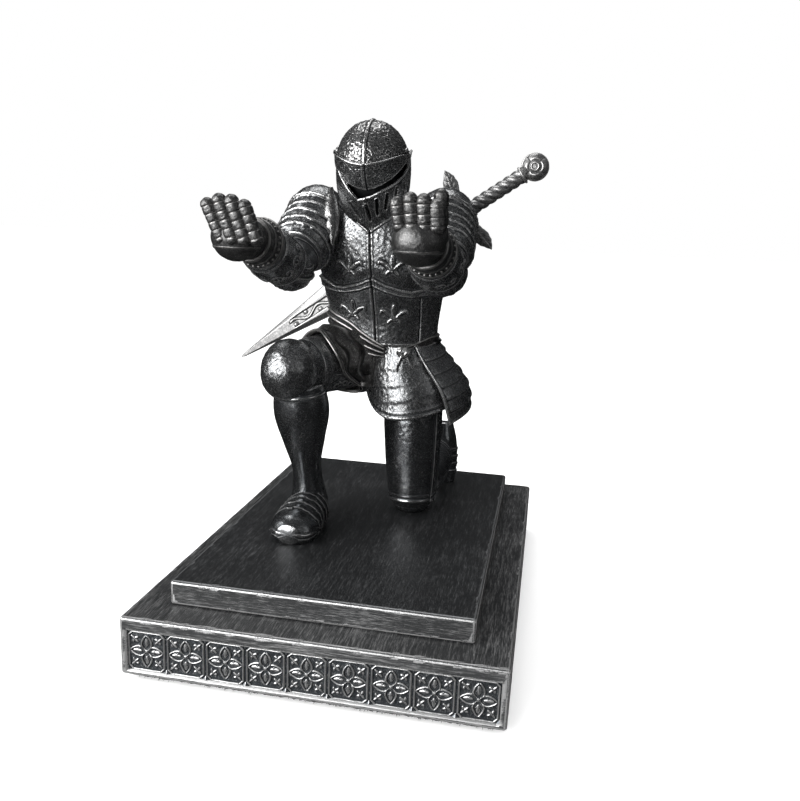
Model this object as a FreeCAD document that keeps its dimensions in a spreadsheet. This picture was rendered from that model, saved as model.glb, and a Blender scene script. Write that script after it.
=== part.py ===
import FreeCAD, Part
import math
import os

import Sketcher

from FreeCAD import Placement, Rotation, Vector

# A kneeling knight that holds a pen across its two raised gauntlets. The figure is an
# assembly of armour castings on a two-step plinth. The sword lifts out of a carrier on
# the back plate, and the visor turns on two temple pivots.
#
# Frame: millimetres, +Z up, the knight faces -Y, +X is the knight's left hand. The origin
# is the middle of the felt pad's underside. Heights in the tables of the figure are
# measured from the top of the plinth, which is where the knight kneels.

doc = FreeCAD.newDocument("kneeling_knight_pen_holder")

# ---------------------------------------------------------------- driving dimensions

BASE = {
    "pad_height": 1.5,
    "pad_inset": 2.4,
    "base_width": 80.0,
    "base_depth": 111.0,
    "slab_height": 13.0,
    "step_height": 5.4,
    "step_inset": 7.6,
    "edge_round": 0.9,
    "corner_round": 1.4,
    "frieze_width": 77.0,
    "frieze_height": 9.0,
    "frieze_depth": 0.9,
    "frieze_rise": 1.2,
    "frieze_sink": 0.25,
    "screw_shank_radius": 1.5,
    "screw_head_radius": 2.9,
    "screw_head_height": 2.2,
    "screw_bite": 4.0,
    "screw_ahead_of_ankle": 5.0,
    "screw_slack": 0.15,
}

# The places that the pieces are set out from, above the top of the plinth.
POINTS = {
    "right_toe": (-14.6, -23.0, 2.6),
    "right_heel": (-14.6, -1.6, 3.4),
    "right_ankle": (-15.2, -4.6, 5.6),
    "right_knee": (-19.1, -10.2, 39.3),
    "right_hip": (-7.8, 12.6, 40.6),
    "right_shin_top": (-17.2, -8.4, 36.0),
    "right_mid_thigh": (-14.4, -0.8, 40.0),
    "right_drape_end": (-6.4, 15.2, 40.8),
    "left_knee": (9.5, 10.0, 6.4),
    "left_hip": (8.8, 13.2, 37.0),
    "left_shin": (9.7, 13.6, 6.6),
    "left_ankle": (12.6, 33.4, 10.6),
    "left_toe": (13.2, 36.6, 0.0),
    "left_heel": (13.0, 38.6, 17.6),
    "waist": (-0.6, 12.5, 44.8),
    "knot": (6.6, 2.65, 44.15),
    "collar": (-2.9, 8.4, 72.6),
    "throat": (-3.4, 6.2, 82.6),
    "skull": (-3.3, 4.0, 89.6),
    "visor_pivot": (-3.3, 3.2, 91.4),
    "right_shoulder": (-18.6, 9.8, 75.8),
    "left_shoulder": (14.3, 10.0, 76.0),
    "right_elbow": (-20.1, -7.6, 64.2),
    "left_elbow": (16.3, -7.4, 64.8),
    "right_wrist": (-22.6, -25.6, 70.4),
    "left_wrist": (15.6, -25.4, 70.6),
    "right_palm": (-23.4, -31.4, 71.4),
    "left_palm": (14.8, -31.2, 72.2),
    "sword_guard": (17.5, 25.3, 78.8),
}

# Half sizes of the rounded caps and masses: across (X), deep (Y) and tall (Z).
CAPS = {
    "right_poleyn": ("right_knee", 6.5, 6.6, 7.6),
    "left_poleyn": ("left_knee", 7.3, 7.4, 8.2),
    "right_pauldron": ("right_shoulder", 7.5, 7.7, 8.1),
    "left_pauldron": ("left_shoulder", 7.8, 7.7, 8.2),
    "right_couter": ("right_elbow", 5.9, 5.9, 5.7),
    "left_couter": ("left_elbow", 5.9, 5.9, 5.7),
    "right_palm_mass": ("right_palm", 5.5, 5.7, 3.2),
    "left_palm_mass": ("left_palm", 5.6, 5.8, 3.2),
    "skull_outside": ("skull", 7.9, 9.6, 9.3),
    "inner_head": ("skull", 7.0, 7.8, 8.1),
}

# Limbs run from one point to another. Each station is the share of the way along, then
# the half width across and the half depth.
LIMBS = {
    "right_sabaton": ("right_heel", "right_toe",
                      [(0.0, 3.2, 2.8), (0.14, 4.5, 4.4), (0.5, 5.3, 5.2),
                       (0.8, 5.4, 4.0), (0.93, 4.5, 3.2), (1.0, 2.6, 2.0)]),
    "right_greave": ("right_ankle", "right_shin_top",
                     [(0.0, 4.6, 4.8), (0.28, 3.5, 4.2), (0.52, 5.1, 5.8), (0.76, 6.8, 6.6),
                      (1.0, 6.2, 5.8)]),
    "right_cuisse": ("right_knee", "right_hip", [(0.0, 6.0, 6.2), (0.5, 7.2, 7.4), (1.0, 7.6, 8.0)]),
    "thigh_drape": ("right_mid_thigh", "right_drape_end",
                    [(0.0, 8.0, 8.4), (0.5, 9.0, 9.4), (1.0, 9.4, 9.8)]),
    "left_cuisse": ("left_knee", "left_hip", [(0.0, 7.5, 7.6), (0.4, 8.4, 8.3), (1.0, 8.5, 8.6)]),
    "left_greave": ("left_shin", "left_ankle", [(0.0, 6.2, 5.8), (0.45, 6.4, 5.9), (1.0, 4.2, 4.2)]),
    "left_sabaton": ("left_toe", "left_heel",
                     [(0.0, 4.4, 2.7), (0.35, 4.8, 3.2), (0.75, 4.2, 4.4), (1.0, 3.0, 3.2)]),
    "right_rerebrace": ("right_shoulder", "right_elbow",
                        [(0.0, 6.9, 6.6), (0.55, 6.6, 6.2), (1.0, 5.2, 5.0)]),
    "left_rerebrace": ("left_shoulder", "left_elbow", [(0.0, 6.8, 6.6), (0.55, 6.5, 6.2), (1.0, 5.2, 5.0)]),
    "right_vambrace": ("right_elbow", "right_wrist", [(0.0, 5.2, 5.1), (0.45, 6.4, 6.3), (1.0, 4.2, 4.1)]),
    "left_vambrace": ("left_elbow", "left_wrist", [(0.0, 5.2, 5.1), (0.45, 6.3, 6.2), (1.0, 4.3, 4.2)]),
    "gorget": ("collar", "throat", [(0.0, 7.6, 7.2), (0.55, 6.6, 6.4), (1.0, 6.2, 6.2)]),
}

# Level rings: height above the plinth, middle (X, Y), half width and half depth.
RINGS = {
    "torso": [(44.8, -0.6, 12.5, 13.9, 8.7), (51.0, -0.7, 12.2, 14.3, 8.9), (58.0, -1.1, 11.8, 15.6, 10.1),
              (66.0, -1.6, 11.2, 16.4, 10.6), (73.0, -2.2, 10.6, 14.6, 9.8), (79.5, -2.8, 9.8, 9.8, 7.8)],
    "skirt": [(31.0, -0.4, 14.4, 15.8, 11.8), (38.0, -0.2, 13.6, 15.2, 10.8),
              (44.8, -0.4, 12.6, 13.4, 8.9)],
    "front_tasset": [(26.9, 7.5, 12.6, 10.8, 12.2), (36.0, 7.3, 12.8, 10.4, 11.4),
                     (42.4, 6.6, 12.8, 8.6, 9.8)],
    "side_tasset": [(24.4, 7.6, 13.8, 15.2, 13.4), (35.0, 7.2, 13.8, 14.6, 12.8),
                    (42.4, 6.4, 13.2, 9.6, 10.4)],
    "bevor": [(77.4, -3.3, 6.2, 7.2, 7.6), (81.0, -3.3, 5.6, 8.3, 9.6), (86.0, -3.3, 5.2, 8.9, 10.4),
              (93.0, -3.3, 5.0, 8.9, 10.4)],
}

WALLS = {
    "plate_wall": 1.5,
    "side_seam_ahead": 0.6,
    "nape_drop": 1.4,
    "tasset_wall": 1.1,
    "front_tasset_from": 22.0,
    "front_tasset_to": 170.0,
    "side_tasset_from": -58.0,
    "side_tasset_to": 58.0,
    "bevor_wall": 0.7,
    "visor_pole": 8.6,
    "visor_radius": 11.0,
    "visor_wall": 0.75,
    "visor_pole_wall": 0.45,
    "visor_low_angle": 53.2,
    "visor_span": 39.2,
    "bevor_rim_angle": 54.0,
    "comb_width": 1.3,
    "comb_rise": 0.5,
    "pivot_radius": 1.6,
    "pivot_reach": 9.4,
    "pin_radius": 1.15,
    "pin_slack": 0.05,
    "pin_head_start": 8.63,
    "ear_radius": 2.1,
    "ear_room": 0.3,
    "bevor_open_span": 234.0,
    "bevor_open_reach": 30.0,
    "bevor_behind": 5.4,
    "face_low_angle": 100.0,
    "face_span": 92.0,
    "face_pole": 14.0,
    "face_radius": 16.0,
    "belt_height": 2.4,
    "belt_swell": 0.9,
    "belt_crown": 9.0,
    "knot_across": 2.2,
    "knot_deep": 1.2,
    "knot_tall": 1.7,
}

HANDS = {
    "finger_radius": 1.5,
    "finger_pitch": 2.75,
    "right_finger_reach": 6.8,
    "left_finger_reach": 7.6,
    "finger_ahead": 4.3,
    "finger_lift": 0.2,
    "finger_tilt": 3.0,
    "thumb_radius": 1.6,
    "right_thumb_reach": 5.4,
    "left_thumb_reach": 8.6,
    "thumb_lean": 7.0,
    "thumb_out": 4.9,
    "thumb_ahead": 0.6,
    "thumb_lift": 0.6,
    "cuff_length": 5.0,
    "cuff_radius": 5.8,
    "cuff_narrow": 4.7,
    "cuff_behind_wrist": 4.0,
}

SWORD = {
    "sword_slope": 34.65,
    "blade_length": 76.5,
    "blade_width": 8.8,
    "blade_root_width": 9.4,
    "blade_taper": 33.0,
    "blade_thickness": 1.8,
    "guard_span": 24.4,
    "guard_waist": 3.4,
    "guard_depth": 3.4,
    "guard_shoulder": 3.2,
    "wing_bulge": 0.6,
    "wing_share": 0.71,
    "grip_length": 16.4,
    "grip_radius": 1.9,
    "pommel_from_guard": 21.2,
    "pommel_radius": 3.8,
    "pommel_depth": 2.7,
    "carrier_length": 22.0,
    "carrier_width": 12.0,
    "carrier_depth": 4.6,
    "lug_length": 9.0,
    "lug_depth": 6.0,
    "lug_width": 7.0,
    "slot_slack": 0.15,
}

sheet = doc.addObject("Spreadsheet::Sheet", "Sizes")
row_number = 0


def store(alias, value):
    """Put one driving dimension in the next row of the sheet, under its alias."""
    global row_number
    row_number += 1
    sheet.set(f"A{row_number}", alias)
    sheet.set(f"B{row_number}", str(value))
    sheet.setAlias(f"B{row_number}", alias)


for table in (BASE, WALLS, HANDS, SWORD):
    for alias, value in table.items():
        store(alias, value)
for label, place in POINTS.items():
    for axis, value in zip("xyz", place):
        store(f"{label}_{axis}", value)
for label, (_, *half_sizes) in CAPS.items():
    for measure, value in zip(("across", "deep", "tall"), half_sizes):
        store(f"{label}_{measure}", value)
sections = {label: [station[-2:] for station in stations] for label, (_, _, stations) in LIMBS.items()}
sections.update({label: [ring[-2:] for ring in rings] for label, rings in RINGS.items()})
for label, half_sizes in sections.items():
    for index, (across, deep) in enumerate(half_sizes):
        store(f"{label}_across_{index}", across)
        store(f"{label}_deep_{index}", deep)
doc.recompute()


def size(alias):
    """The value of a driving dimension, as a plain number."""
    return float(getattr(sheet, alias))


PLINTH_TOP = size("pad_height") + size("slab_height") + size("step_height")


def point(name):
    """A named point of the figure, in the part's own frame."""
    return Vector(size(f"{name}_x"), size(f"{name}_y"), size(f"{name}_z") + PLINTH_TOP)


def bind(obj, **expressions):
    """Bind properties of an object to expressions of the sheet's cells."""
    for prop, expression in expressions.items():
        obj.setExpression(prop, expression)


# ---------------------------------------------------------------- building blocks

helper_names = iter(f"shape_{number:03d}" for number in range(1, 1000))


def primitive(kind, place=Placement(), **expressions):
    """A Part primitive with bound sizes."""
    obj = doc.addObject(kind, next(helper_names))
    bind(obj, **expressions)
    obj.Placement = place
    return obj


def cut(base, *tools):
    """The base without each of the tools, one after the other."""
    for tool in tools:
        obj = doc.addObject("Part::Cut", next(helper_names))
        obj.Base = base
        obj.Tool = tool
        base = obj
    return base


def common(first, second):
    """What two shapes share."""
    obj = doc.addObject("Part::MultiCommon", next(helper_names))
    obj.Shapes = [first, second]
    return obj


def fuse(*shapes):
    """Several shapes as one solid."""
    obj = doc.addObject("Part::MultiFuse", next(helper_names))
    obj.Shapes = list(shapes)
    obj.Refine = True
    return obj


def ellipsoid(center, across, deep, tall, turn=Rotation()):
    """An ellipsoid with its three half sizes given as expressions."""
    full_angles = {"Angle1": "-90", "Angle2": "90", "Angle3": "360"}
    return primitive("Part::Ellipsoid", Placement(center, turn),
                     Radius1=tall, Radius2=across, Radius3=deep, **full_angles)


def cap(name, turn=Rotation()):
    """The ellipsoid that the CAPS table gives for a name."""
    return ellipsoid(point(CAPS[name][0]), f"Sizes.{name}_across", f"Sizes.{name}_deep",
                     f"Sizes.{name}_tall", turn)


def block(low, high):
    """A plain box between two corners."""
    obj = doc.addObject("Part::Box", next(helper_names))
    obj.Length = high.x - low.x
    obj.Width = high.y - low.y
    obj.Height = high.z - low.z
    obj.Placement = Placement(low, Rotation())
    return obj


def oval(across, deep, place):
    """An elliptical section. Its longer half size always goes on the major radius."""
    obj = doc.addObject("Part::Ellipse", next(helper_names))
    if size(across) >= size(deep):
        bind(obj, MajorRadius=f"Sizes.{across}", MinorRadius=f"Sizes.{deep}")
        obj.Placement = place
    else:
        bind(obj, MajorRadius=f"Sizes.{deep}", MinorRadius=f"Sizes.{across}")
        obj.Placement = place.multiply(Placement(Vector(), Rotation(Vector(0, 0, 1), 90)))
    return obj


def loft(sections, place=Placement()):
    """A smooth solid through its sections."""
    obj = doc.addObject("Part::Loft", next(helper_names))
    obj.Sections = sections
    obj.Solid = True
    obj.Placement = place
    return obj


def limb(name):
    """The tapered limb that the LIMBS table gives for a name."""
    start_name, end_name, stations = LIMBS[name]
    start = point(start_name)
    along = point(end_name) - start
    turn = Rotation(Vector(1, 0, 0), Vector(), along, "ZXY")
    sections = []
    for index, (share, _, _) in enumerate(stations):
        lift = Placement(Vector(0, 0, share * along.Length), Rotation())
        sections.append(oval(f"{name}_across_{index}", f"{name}_deep_{index}", lift))
    return loft(sections, Placement(start, turn))


def ringed(name, wall=None):
    """The upright shell that the RINGS table gives: its outside, or its inside if a wall is named."""
    sections = []
    for index, (height, middle_x, middle_y, across, deep) in enumerate(RINGS[name]):
        place = Placement(Vector(middle_x, middle_y, height + PLINTH_TOP), Rotation())
        section = oval(f"{name}_across_{index}", f"{name}_deep_{index}", place)
        if wall:
            longer, shorter = ("across", "deep") if across >= deep else ("deep", "across")
            bind(section, MajorRadius=f"Sizes.{name}_{longer}_{index} - Sizes.{wall}",
                 MinorRadius=f"Sizes.{name}_{shorter}_{index} - Sizes.{wall}")
        sections.append(section)
    return loft(sections)


def lune(center, pole, radius, low_angle, span):
    """A slice of an ellipsoid of revolution about X: from low_angle below straight ahead, up by span."""
    below = math.radians(size(low_angle))
    turn = Rotation(Vector(0, -math.cos(below), -math.sin(below)), Vector(), Vector(-1, 0, 0), "ZXY")
    return primitive("Part::Ellipsoid", Placement(center, turn), Radius1=pole, Radius2=radius, Radius3=radius,
                     Angle1="-90", Angle2="90", Angle3=f"Sizes.{span}")


def name_part(label, obj):
    """Give a finished shape its node name and keep it for the export."""
    obj.Label = label
    finished[label] = obj
    return obj


finished = {}


def origin_plane(body, role):
    """One of a body's own origin planes."""
    return next(feature for feature in body.Origin.OriginFeatures if feature.Role == role)


def outline_sketch(body, role, corners):
    """A closed sketch of straight lines on one of the body's origin planes."""
    sketch = body.newObject("Sketcher::SketchObject", f"{body.Name}_outline")
    sketch.AttachmentSupport = [(origin_plane(body, role), "")]
    sketch.MapMode = "FlatFace"
    count = len(corners)
    for index in range(count):
        start = Vector(*corners[index], 0)
        end = Vector(*corners[(index + 1) % count], 0)
        sketch.addGeometry(Part.LineSegment(start, end), False)
    for index in range(count):
        sketch.addConstraint(Sketcher.Constraint("Coincident", index, 2, (index + 1) % count, 1))
    return sketch


def rectangle_body(label, width, depth, height, base_height):
    """A rectangular slab centred on the origin, as a padded sketch with bound sizes."""
    body = doc.addObject("PartDesign::Body", label)
    sketch = outline_sketch(body, "XY_Plane", [(-1, -1), (1, -1), (1, 1), (-1, 1)])
    half_width = sketch.addConstraint(Sketcher.Constraint("DistanceX", 0, 1, 0, 2, 2.0))
    half_depth = sketch.addConstraint(Sketcher.Constraint("DistanceY", 1, 1, 1, 2, 2.0))
    sketch.addConstraint(Sketcher.Constraint("Horizontal", 0))
    sketch.addConstraint(Sketcher.Constraint("Horizontal", 2))
    sketch.addConstraint(Sketcher.Constraint("Vertical", 1))
    sketch.addConstraint(Sketcher.Constraint("Vertical", 3))
    sketch.addConstraint(Sketcher.Constraint("Symmetric", 0, 1, 1, 2, -1, 1))
    sketch.renameConstraint(half_width, "width")
    sketch.renameConstraint(half_depth, "depth")
    bind(sketch, **{"Constraints.width": width, "Constraints.depth": depth})
    pad = body.newObject("PartDesign::Pad", f"{label}_pad")
    pad.Profile = sketch
    bind(pad, Length=height)
    body.Placement = Placement(Vector(0, 0, base_height), Rotation())
    return body, pad


def upright_edges(shape):
    """Names of the edges that stand upright."""
    names = []
    for index, edge in enumerate(shape.Edges, start=1):
        first, last = edge.Vertexes[0].Point, edge.Vertexes[-1].Point
        if abs(first.x - last.x) < 1e-6 and abs(first.y - last.y) < 1e-6:
            names.append(f"Edge{index}")
    return names


def round_edges(body, feature, names, radius):
    """Round the named edges of a feature and make that the body's tip."""
    fillet = body.newObject("PartDesign::Fillet", f"{body.Name}_round_{len(body.Group)}")
    fillet.Base = (feature, names)
    bind(fillet, Radius=radius)
    body.Tip = fillet
    doc.recompute()
    return fillet


def top_edges(shape):
    """Names of the edges round the top face."""
    top = shape.BoundBox.ZMax
    return [f"Edge{index}" for index, edge in enumerate(shape.Edges, start=1)
            if all(abs(vertex.Z - top) < 1e-6 for vertex in edge.Vertexes)]


# ---------------------------------------------------------------- plinth

SCREW_SPOTS = [(size("right_ankle_x"), size("right_ankle_y") - size("screw_ahead_of_ankle")),
               (size("left_knee_x"), size("left_knee_y"))]
slab_bottom = size("pad_height")
step_bottom = slab_bottom + size("slab_height")


def drill(radius, low, high):
    """The two upright holes, or shanks, of the fixing screws as one shape."""
    drills = [primitive("Part::Cylinder", Placement(Vector(spot_x, spot_y, low), Rotation()), Radius=radius)
              for spot_x, spot_y in SCREW_SPOTS]
    for cylinder in drills:
        cylinder.Height = high - low
    return fuse(*drills)


def make_slab(label, width, depth, height, bottom):
    """One slab of the plinth, with rounded corners and a rounded top edge."""
    body, pad = rectangle_body(label, width, depth, height, bottom)
    doc.recompute()
    corners = round_edges(body, pad, upright_edges(pad.Shape), "Sizes.corner_round")
    round_edges(body, corners, top_edges(corners.Shape), "Sizes.edge_round")
    return body


lower_slab = make_slab("lower_slab", "Sizes.base_width", "Sizes.base_depth", "Sizes.slab_height", slab_bottom)
upper_slab = make_slab("upper_slab", "Sizes.base_width - 2 * Sizes.step_inset",
                       "Sizes.base_depth - 2 * Sizes.step_inset", "Sizes.step_height", step_bottom)

frieze_body, frieze_pad = rectangle_body("front_frieze", "Sizes.frieze_width", "Sizes.frieze_depth",
                                         "Sizes.frieze_height", 0)
slab_front = -size("base_depth") / 2
frieze_low = slab_bottom + size("frieze_rise")
frieze_back = slab_front + size("frieze_sink") + size("frieze_depth")
frieze_body.Placement = Placement(Vector(0, frieze_back - size("frieze_depth") / 2, frieze_low), Rotation())
name_part("front_frieze", frieze_body)
frieze_recess = block(Vector(-size("frieze_width") / 2, slab_front - 1, frieze_low),
                      Vector(size("frieze_width") / 2, frieze_back, frieze_low + size("frieze_height")))

clearance_holes = drill("Sizes.screw_shank_radius + Sizes.screw_slack", slab_bottom - 1, PLINTH_TOP + 1)
head_pockets = drill("Sizes.screw_head_radius + Sizes.screw_slack", slab_bottom - 1,
                     slab_bottom + size("screw_head_height"))
name_part("base_plinth", cut(lower_slab, frieze_recess, clearance_holes, head_pockets))
name_part("upper_step", cut(upper_slab, clearance_holes))

pad_body, _ = rectangle_body("felt_pad", "Sizes.base_width - 2 * Sizes.pad_inset",
                             "Sizes.base_depth - 2 * Sizes.pad_inset", "Sizes.pad_height", 0)
name_part("felt_pad", pad_body)

shanks = drill("Sizes.screw_shank_radius", slab_bottom + 1, PLINTH_TOP + size("screw_bite"))
heads = drill("Sizes.screw_head_radius", slab_bottom, slab_bottom + size("screw_head_height"))
name_part("fixing_screws", fuse(shanks, heads))

ground = block(Vector(-60, -60, PLINTH_TOP - 30), Vector(60, 60, PLINTH_TOP))

# ---------------------------------------------------------------- legs

right_poleyn = cap("right_poleyn")
right_greave = limb("right_greave")
right_cuisse = limb("right_cuisse")
torso_outside = ringed("torso")
left_poleyn_mass = cap("left_poleyn")
left_cuisse = limb("left_cuisse")
left_greave = limb("left_greave")
left_sabaton = limb("left_sabaton")

name_part("right_sabaton", cut(limb("right_sabaton"), ground, shanks, right_greave))
name_part("right_greave", cut(right_greave, right_poleyn))
name_part("right_poleyn", right_poleyn)
name_part("right_cuisse", cut(right_cuisse, right_poleyn, right_greave, torso_outside))
name_part("left_poleyn", cut(left_poleyn_mass, ground, shanks))
name_part("left_cuisse", cut(left_cuisse, left_poleyn_mass, right_cuisse))
name_part("left_greave", cut(left_greave, left_poleyn_mass, left_cuisse, ground))
name_part("left_sabaton", cut(left_sabaton, left_greave, ground))

# ---------------------------------------------------------------- hips and skirt

skirt_outside = ringed("skirt")
front_tasset_outside = ringed("front_tasset")
thigh_drape = limb("thigh_drape")
name_part("tunic_skirt", cut(skirt_outside, thigh_drape, left_cuisse, front_tasset_outside))
name_part("tunic_drape", cut(thigh_drape, right_cuisse, left_cuisse, front_tasset_outside, torso_outside))


def plate_between(shell_name, inside_of):
    """The part of a shell between its two headings about the left hip, measured from +X towards -Y."""
    middle = point("left_hip")
    first_angle, last_angle = size(f"{shell_name}_from"), size(f"{shell_name}_to")
    shell = cut(ringed(shell_name), ringed(shell_name, "tasset_wall"))
    reach = 40.0
    turn = Rotation(Vector(0, 0, 1), -last_angle)
    wedge = primitive("Part::Cylinder", Placement(Vector(middle.x, middle.y, middle.z - reach), turn))
    wedge.Radius = reach
    wedge.Height = 2 * reach
    wedge.Angle = last_angle - first_angle
    return cut(common(shell, wedge), *inside_of)


front_tasset = plate_between("front_tasset", [left_cuisse, right_cuisse])
name_part("left_front_tasset", front_tasset)
side_tasset = plate_between("side_tasset", [skirt_outside, left_cuisse, front_tasset])
name_part("left_side_tasset", side_tasset)

belt_low = size("waist_z") - size("belt_height") + PLINTH_TOP
belt_outside = ellipsoid(Vector(size("waist_x"), size("waist_y"), belt_low + size("belt_height") / 2),
                         "Sizes.torso_across_0 + Sizes.belt_swell", "Sizes.torso_deep_0 + Sizes.belt_swell",
                         "Sizes.belt_crown")
belt_slice = block(Vector(-30, -20, belt_low), Vector(30, 40, belt_low + size("belt_height")))
belt = cut(common(belt_outside, belt_slice), skirt_outside, thigh_drape)
name_part("belt", belt)
name_part("belt_knot", ellipsoid(point("knot"), "Sizes.knot_across", "Sizes.knot_deep", "Sizes.knot_tall"))

# ---------------------------------------------------------------- torso

torso_core = ringed("torso", "plate_wall")
gorget = limb("gorget")
plates = cut(torso_outside, torso_core, gorget)
side_line = size("waist_y") - size("side_seam_ahead")
front_half = block(Vector(-60, -60, 0), Vector(60, side_line, 200))
back_half = block(Vector(-60, side_line, 0), Vector(60, 100, 200))
name_part("torso_core", cut(torso_core, gorget))
name_part("breastplate", common(plates, front_half))
name_part("backplate", common(plates, back_half))

# ---------------------------------------------------------------- head

inner_head = cap("inner_head")
skull_outside = cap("skull_outside")
pivot = point("visor_pivot")
quarter_turn = Rotation(Vector(0, 1, 0), 90)


def cross_rod(radius, reach):
    """A rod along X through the visor pivots, as long as reach to each side."""
    start = pivot - Vector(size(reach), 0, 0)
    rod = primitive("Part::Cylinder", Placement(start, quarter_turn), Radius=radius)
    rod.Height = 2 * size(reach)
    return rod


comb_start = point("skull") - Vector(size("comb_width") / 2, 0, 0)
comb_disc = primitive("Part::Cylinder", Placement(comb_start, quarter_turn),
                      Radius="Sizes.skull_outside_tall + Sizes.comb_rise", Height="Sizes.comb_width")
face_space = lune(pivot, "Sizes.face_pole", "Sizes.face_radius", "face_low_angle", "face_span")
nape_height = point("throat").z - size("nape_drop")
nape_plane = block(Vector(-40, -40, PLINTH_TOP), Vector(40, 60, nape_height))
skull_shell = cut(fuse(skull_outside, comb_disc), inner_head, face_space, nape_plane, gorget)
visor_inside = ellipsoid(pivot, "Sizes.visor_pole - Sizes.visor_pole_wall",
                         "Sizes.visor_radius - Sizes.visor_wall", "Sizes.visor_radius - Sizes.visor_wall")
visor_plate = cut(lune(pivot, "Sizes.visor_pole", "Sizes.visor_radius", "visor_low_angle", "visor_span"),
                  visor_inside)
pivot_ears = cut(cross_rod("Sizes.ear_radius", "visor_pole"), visor_inside)
ear_hole = cross_rod("Sizes.pin_radius + Sizes.pin_slack", "pivot_reach")
name_part("inner_head", cut(inner_head, gorget))
name_part("helmet_skull", skull_shell)
name_part("helmet_visor", cut(fuse(visor_plate, pivot_ears), ear_hole))

pins = cross_rod("Sizes.pin_radius", "pivot_reach")
pin_heads = cut(cross_rod("Sizes.pivot_radius", "pivot_reach"),
                cross_rod("Sizes.pivot_radius + 1", "pin_head_start"))
name_part("visor_pivots", cut(fuse(pins, pin_heads), skull_outside))

bevor_shell = cut(ringed("bevor"), ringed("bevor", "bevor_wall"))
above_rim = lune(pivot, "Sizes.bevor_open_reach", "Sizes.bevor_open_reach", "bevor_rim_angle",
                 "bevor_open_span")
behind_ears = block(Vector(-40, size("visor_pivot_y") + size("bevor_behind"), 0), Vector(40, 60, 200))
ear_room = cross_rod("Sizes.ear_radius + Sizes.ear_room", "pivot_reach")
name_part("helmet_bevor", cut(bevor_shell, above_rim, behind_ears, ear_room, gorget, skull_shell,
                              torso_outside))
name_part("gorget", cut(gorget, ground))

# ---------------------------------------------------------------- arms

for side, outward in (("right", -1), ("left", 1)):
    pauldron = cap(f"{side}_pauldron", Rotation(Vector(0, 0, 1), 0 if outward > 0 else 180))
    rerebrace = limb(f"{side}_rerebrace")
    couter = cap(f"{side}_couter")
    vambrace = limb(f"{side}_vambrace")
    palm = point(f"{side}_palm")
    palm_mass = cap(f"{side}_palm_mass")
    wrist = point(f"{side}_wrist")
    cuff_along = palm - wrist
    cuff_turn = Rotation(Vector(0, 0, 1), cuff_along)
    cuff_start = wrist - cuff_along.normalize() * size("cuff_behind_wrist")
    cuff = primitive("Part::Cone", Placement(cuff_start, cuff_turn), Radius1="Sizes.cuff_radius",
                     Radius2="Sizes.cuff_narrow", Height="Sizes.cuff_length")
    fingers = []
    for number in range(4):
        offset = (number - 1.5) * size("finger_pitch")
        root = palm + Vector(offset, -size("finger_ahead"), size("finger_lift"))
        rod = primitive("Part::Cylinder", Placement(root, Rotation(Vector(1, 0, 0), -size("finger_tilt"))),
                        Radius="Sizes.finger_radius", Height=f"Sizes.{side}_finger_reach")
        tip = rod.Placement.multVec(Vector(0, 0, size(f"{side}_finger_reach")))
        ends = [primitive("Part::Sphere", Placement(end, Rotation()), Radius="Sizes.finger_radius")
                for end in (root, tip)]
        fingers += [rod, *ends]
    thumb_root = palm + Vector(outward * size("thumb_out"), -size("thumb_ahead"), size("thumb_lift"))
    thumb_place = Placement(thumb_root, Rotation(Vector(0, 1, 0), -outward * size("thumb_lean")))
    thumb = primitive("Part::Cylinder", thumb_place, Radius="Sizes.thumb_radius",
                      Height=f"Sizes.{side}_thumb_reach")
    thumb_end = thumb_place.multVec(Vector(0, 0, size(f"{side}_thumb_reach")))
    thumb_tip = primitive("Part::Sphere", Placement(thumb_end, Rotation()), Radius="Sizes.thumb_radius")
    name_part(f"{side}_pauldron", cut(pauldron, torso_outside, gorget, couter))
    name_part(f"{side}_rerebrace", cut(rerebrace, pauldron, couter, torso_outside))
    name_part(f"{side}_couter", couter)
    name_part(f"{side}_vambrace", cut(vambrace, couter, rerebrace, pauldron, cuff))
    name_part(f"{side}_gauntlet", fuse(cuff, palm_mass))
    name_part(f"{side}_fingers", cut(fuse(*fingers, thumb, thumb_tip), palm_mass, cuff))

# ---------------------------------------------------------------- sword and its carrier

sword_turn = Rotation(Vector(0, 1, 0), -size("sword_slope"))
sword_place = Placement(point("sword_guard"), sword_turn)


def flat_body(label, corners, depth):
    """A flat piece of the sword: an outline in its own X-Z plane, padded to both sides."""
    body = doc.addObject("PartDesign::Body", label)
    sketch = outline_sketch(body, "XZ_Plane", corners)
    pad = body.newObject("PartDesign::Pad", f"{label}_pad")
    pad.Profile = sketch
    pad.Midplane = True
    bind(pad, Length=depth)
    body.Placement = sword_place
    return body


def blade_outline(slack=0.0):
    """The blade's outline: the point, then the end of the taper and the root on either side."""
    reach = size("blade_length")
    tip_half = size("blade_width") / 2 + slack
    root_half = size("blade_root_width") / 2 + slack
    shoulder = size("blade_taper") - reach
    return [(-reach, 0.0), (shoulder, tip_half), (0.0, root_half), (0.0, -root_half), (shoulder, -tip_half)]


guard_half = size("guard_span") / 2
waist_half = size("guard_waist") / 2
wing_half = waist_half + size("wing_bulge")
wing_high = guard_half * size("wing_share")
shoulder = size("guard_shoulder")
guard_outline = [(waist_half, -shoulder), (wing_half, -wing_high), (0.0, -guard_half),
                 (-waist_half, -wing_high), (-waist_half, wing_high), (0.0, guard_half),
                 (wing_half, wing_high), (waist_half, shoulder)]
blade = flat_body("sword_blade", blade_outline(), "Sizes.blade_thickness")
guard = flat_body("guard_outline", guard_outline, "Sizes.guard_depth")
name_part("sword_guard", guard)
name_part("sword_blade", cut(blade, guard))

along_sword = Rotation(Vector(0, 0, 1), sword_turn.multVec(Vector(1, 0, 0)))


def on_sword(distance):
    """A point on the sword's axis, measured from the guard towards the pommel."""
    return sword_place.multVec(Vector(distance, 0, 0))


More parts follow.
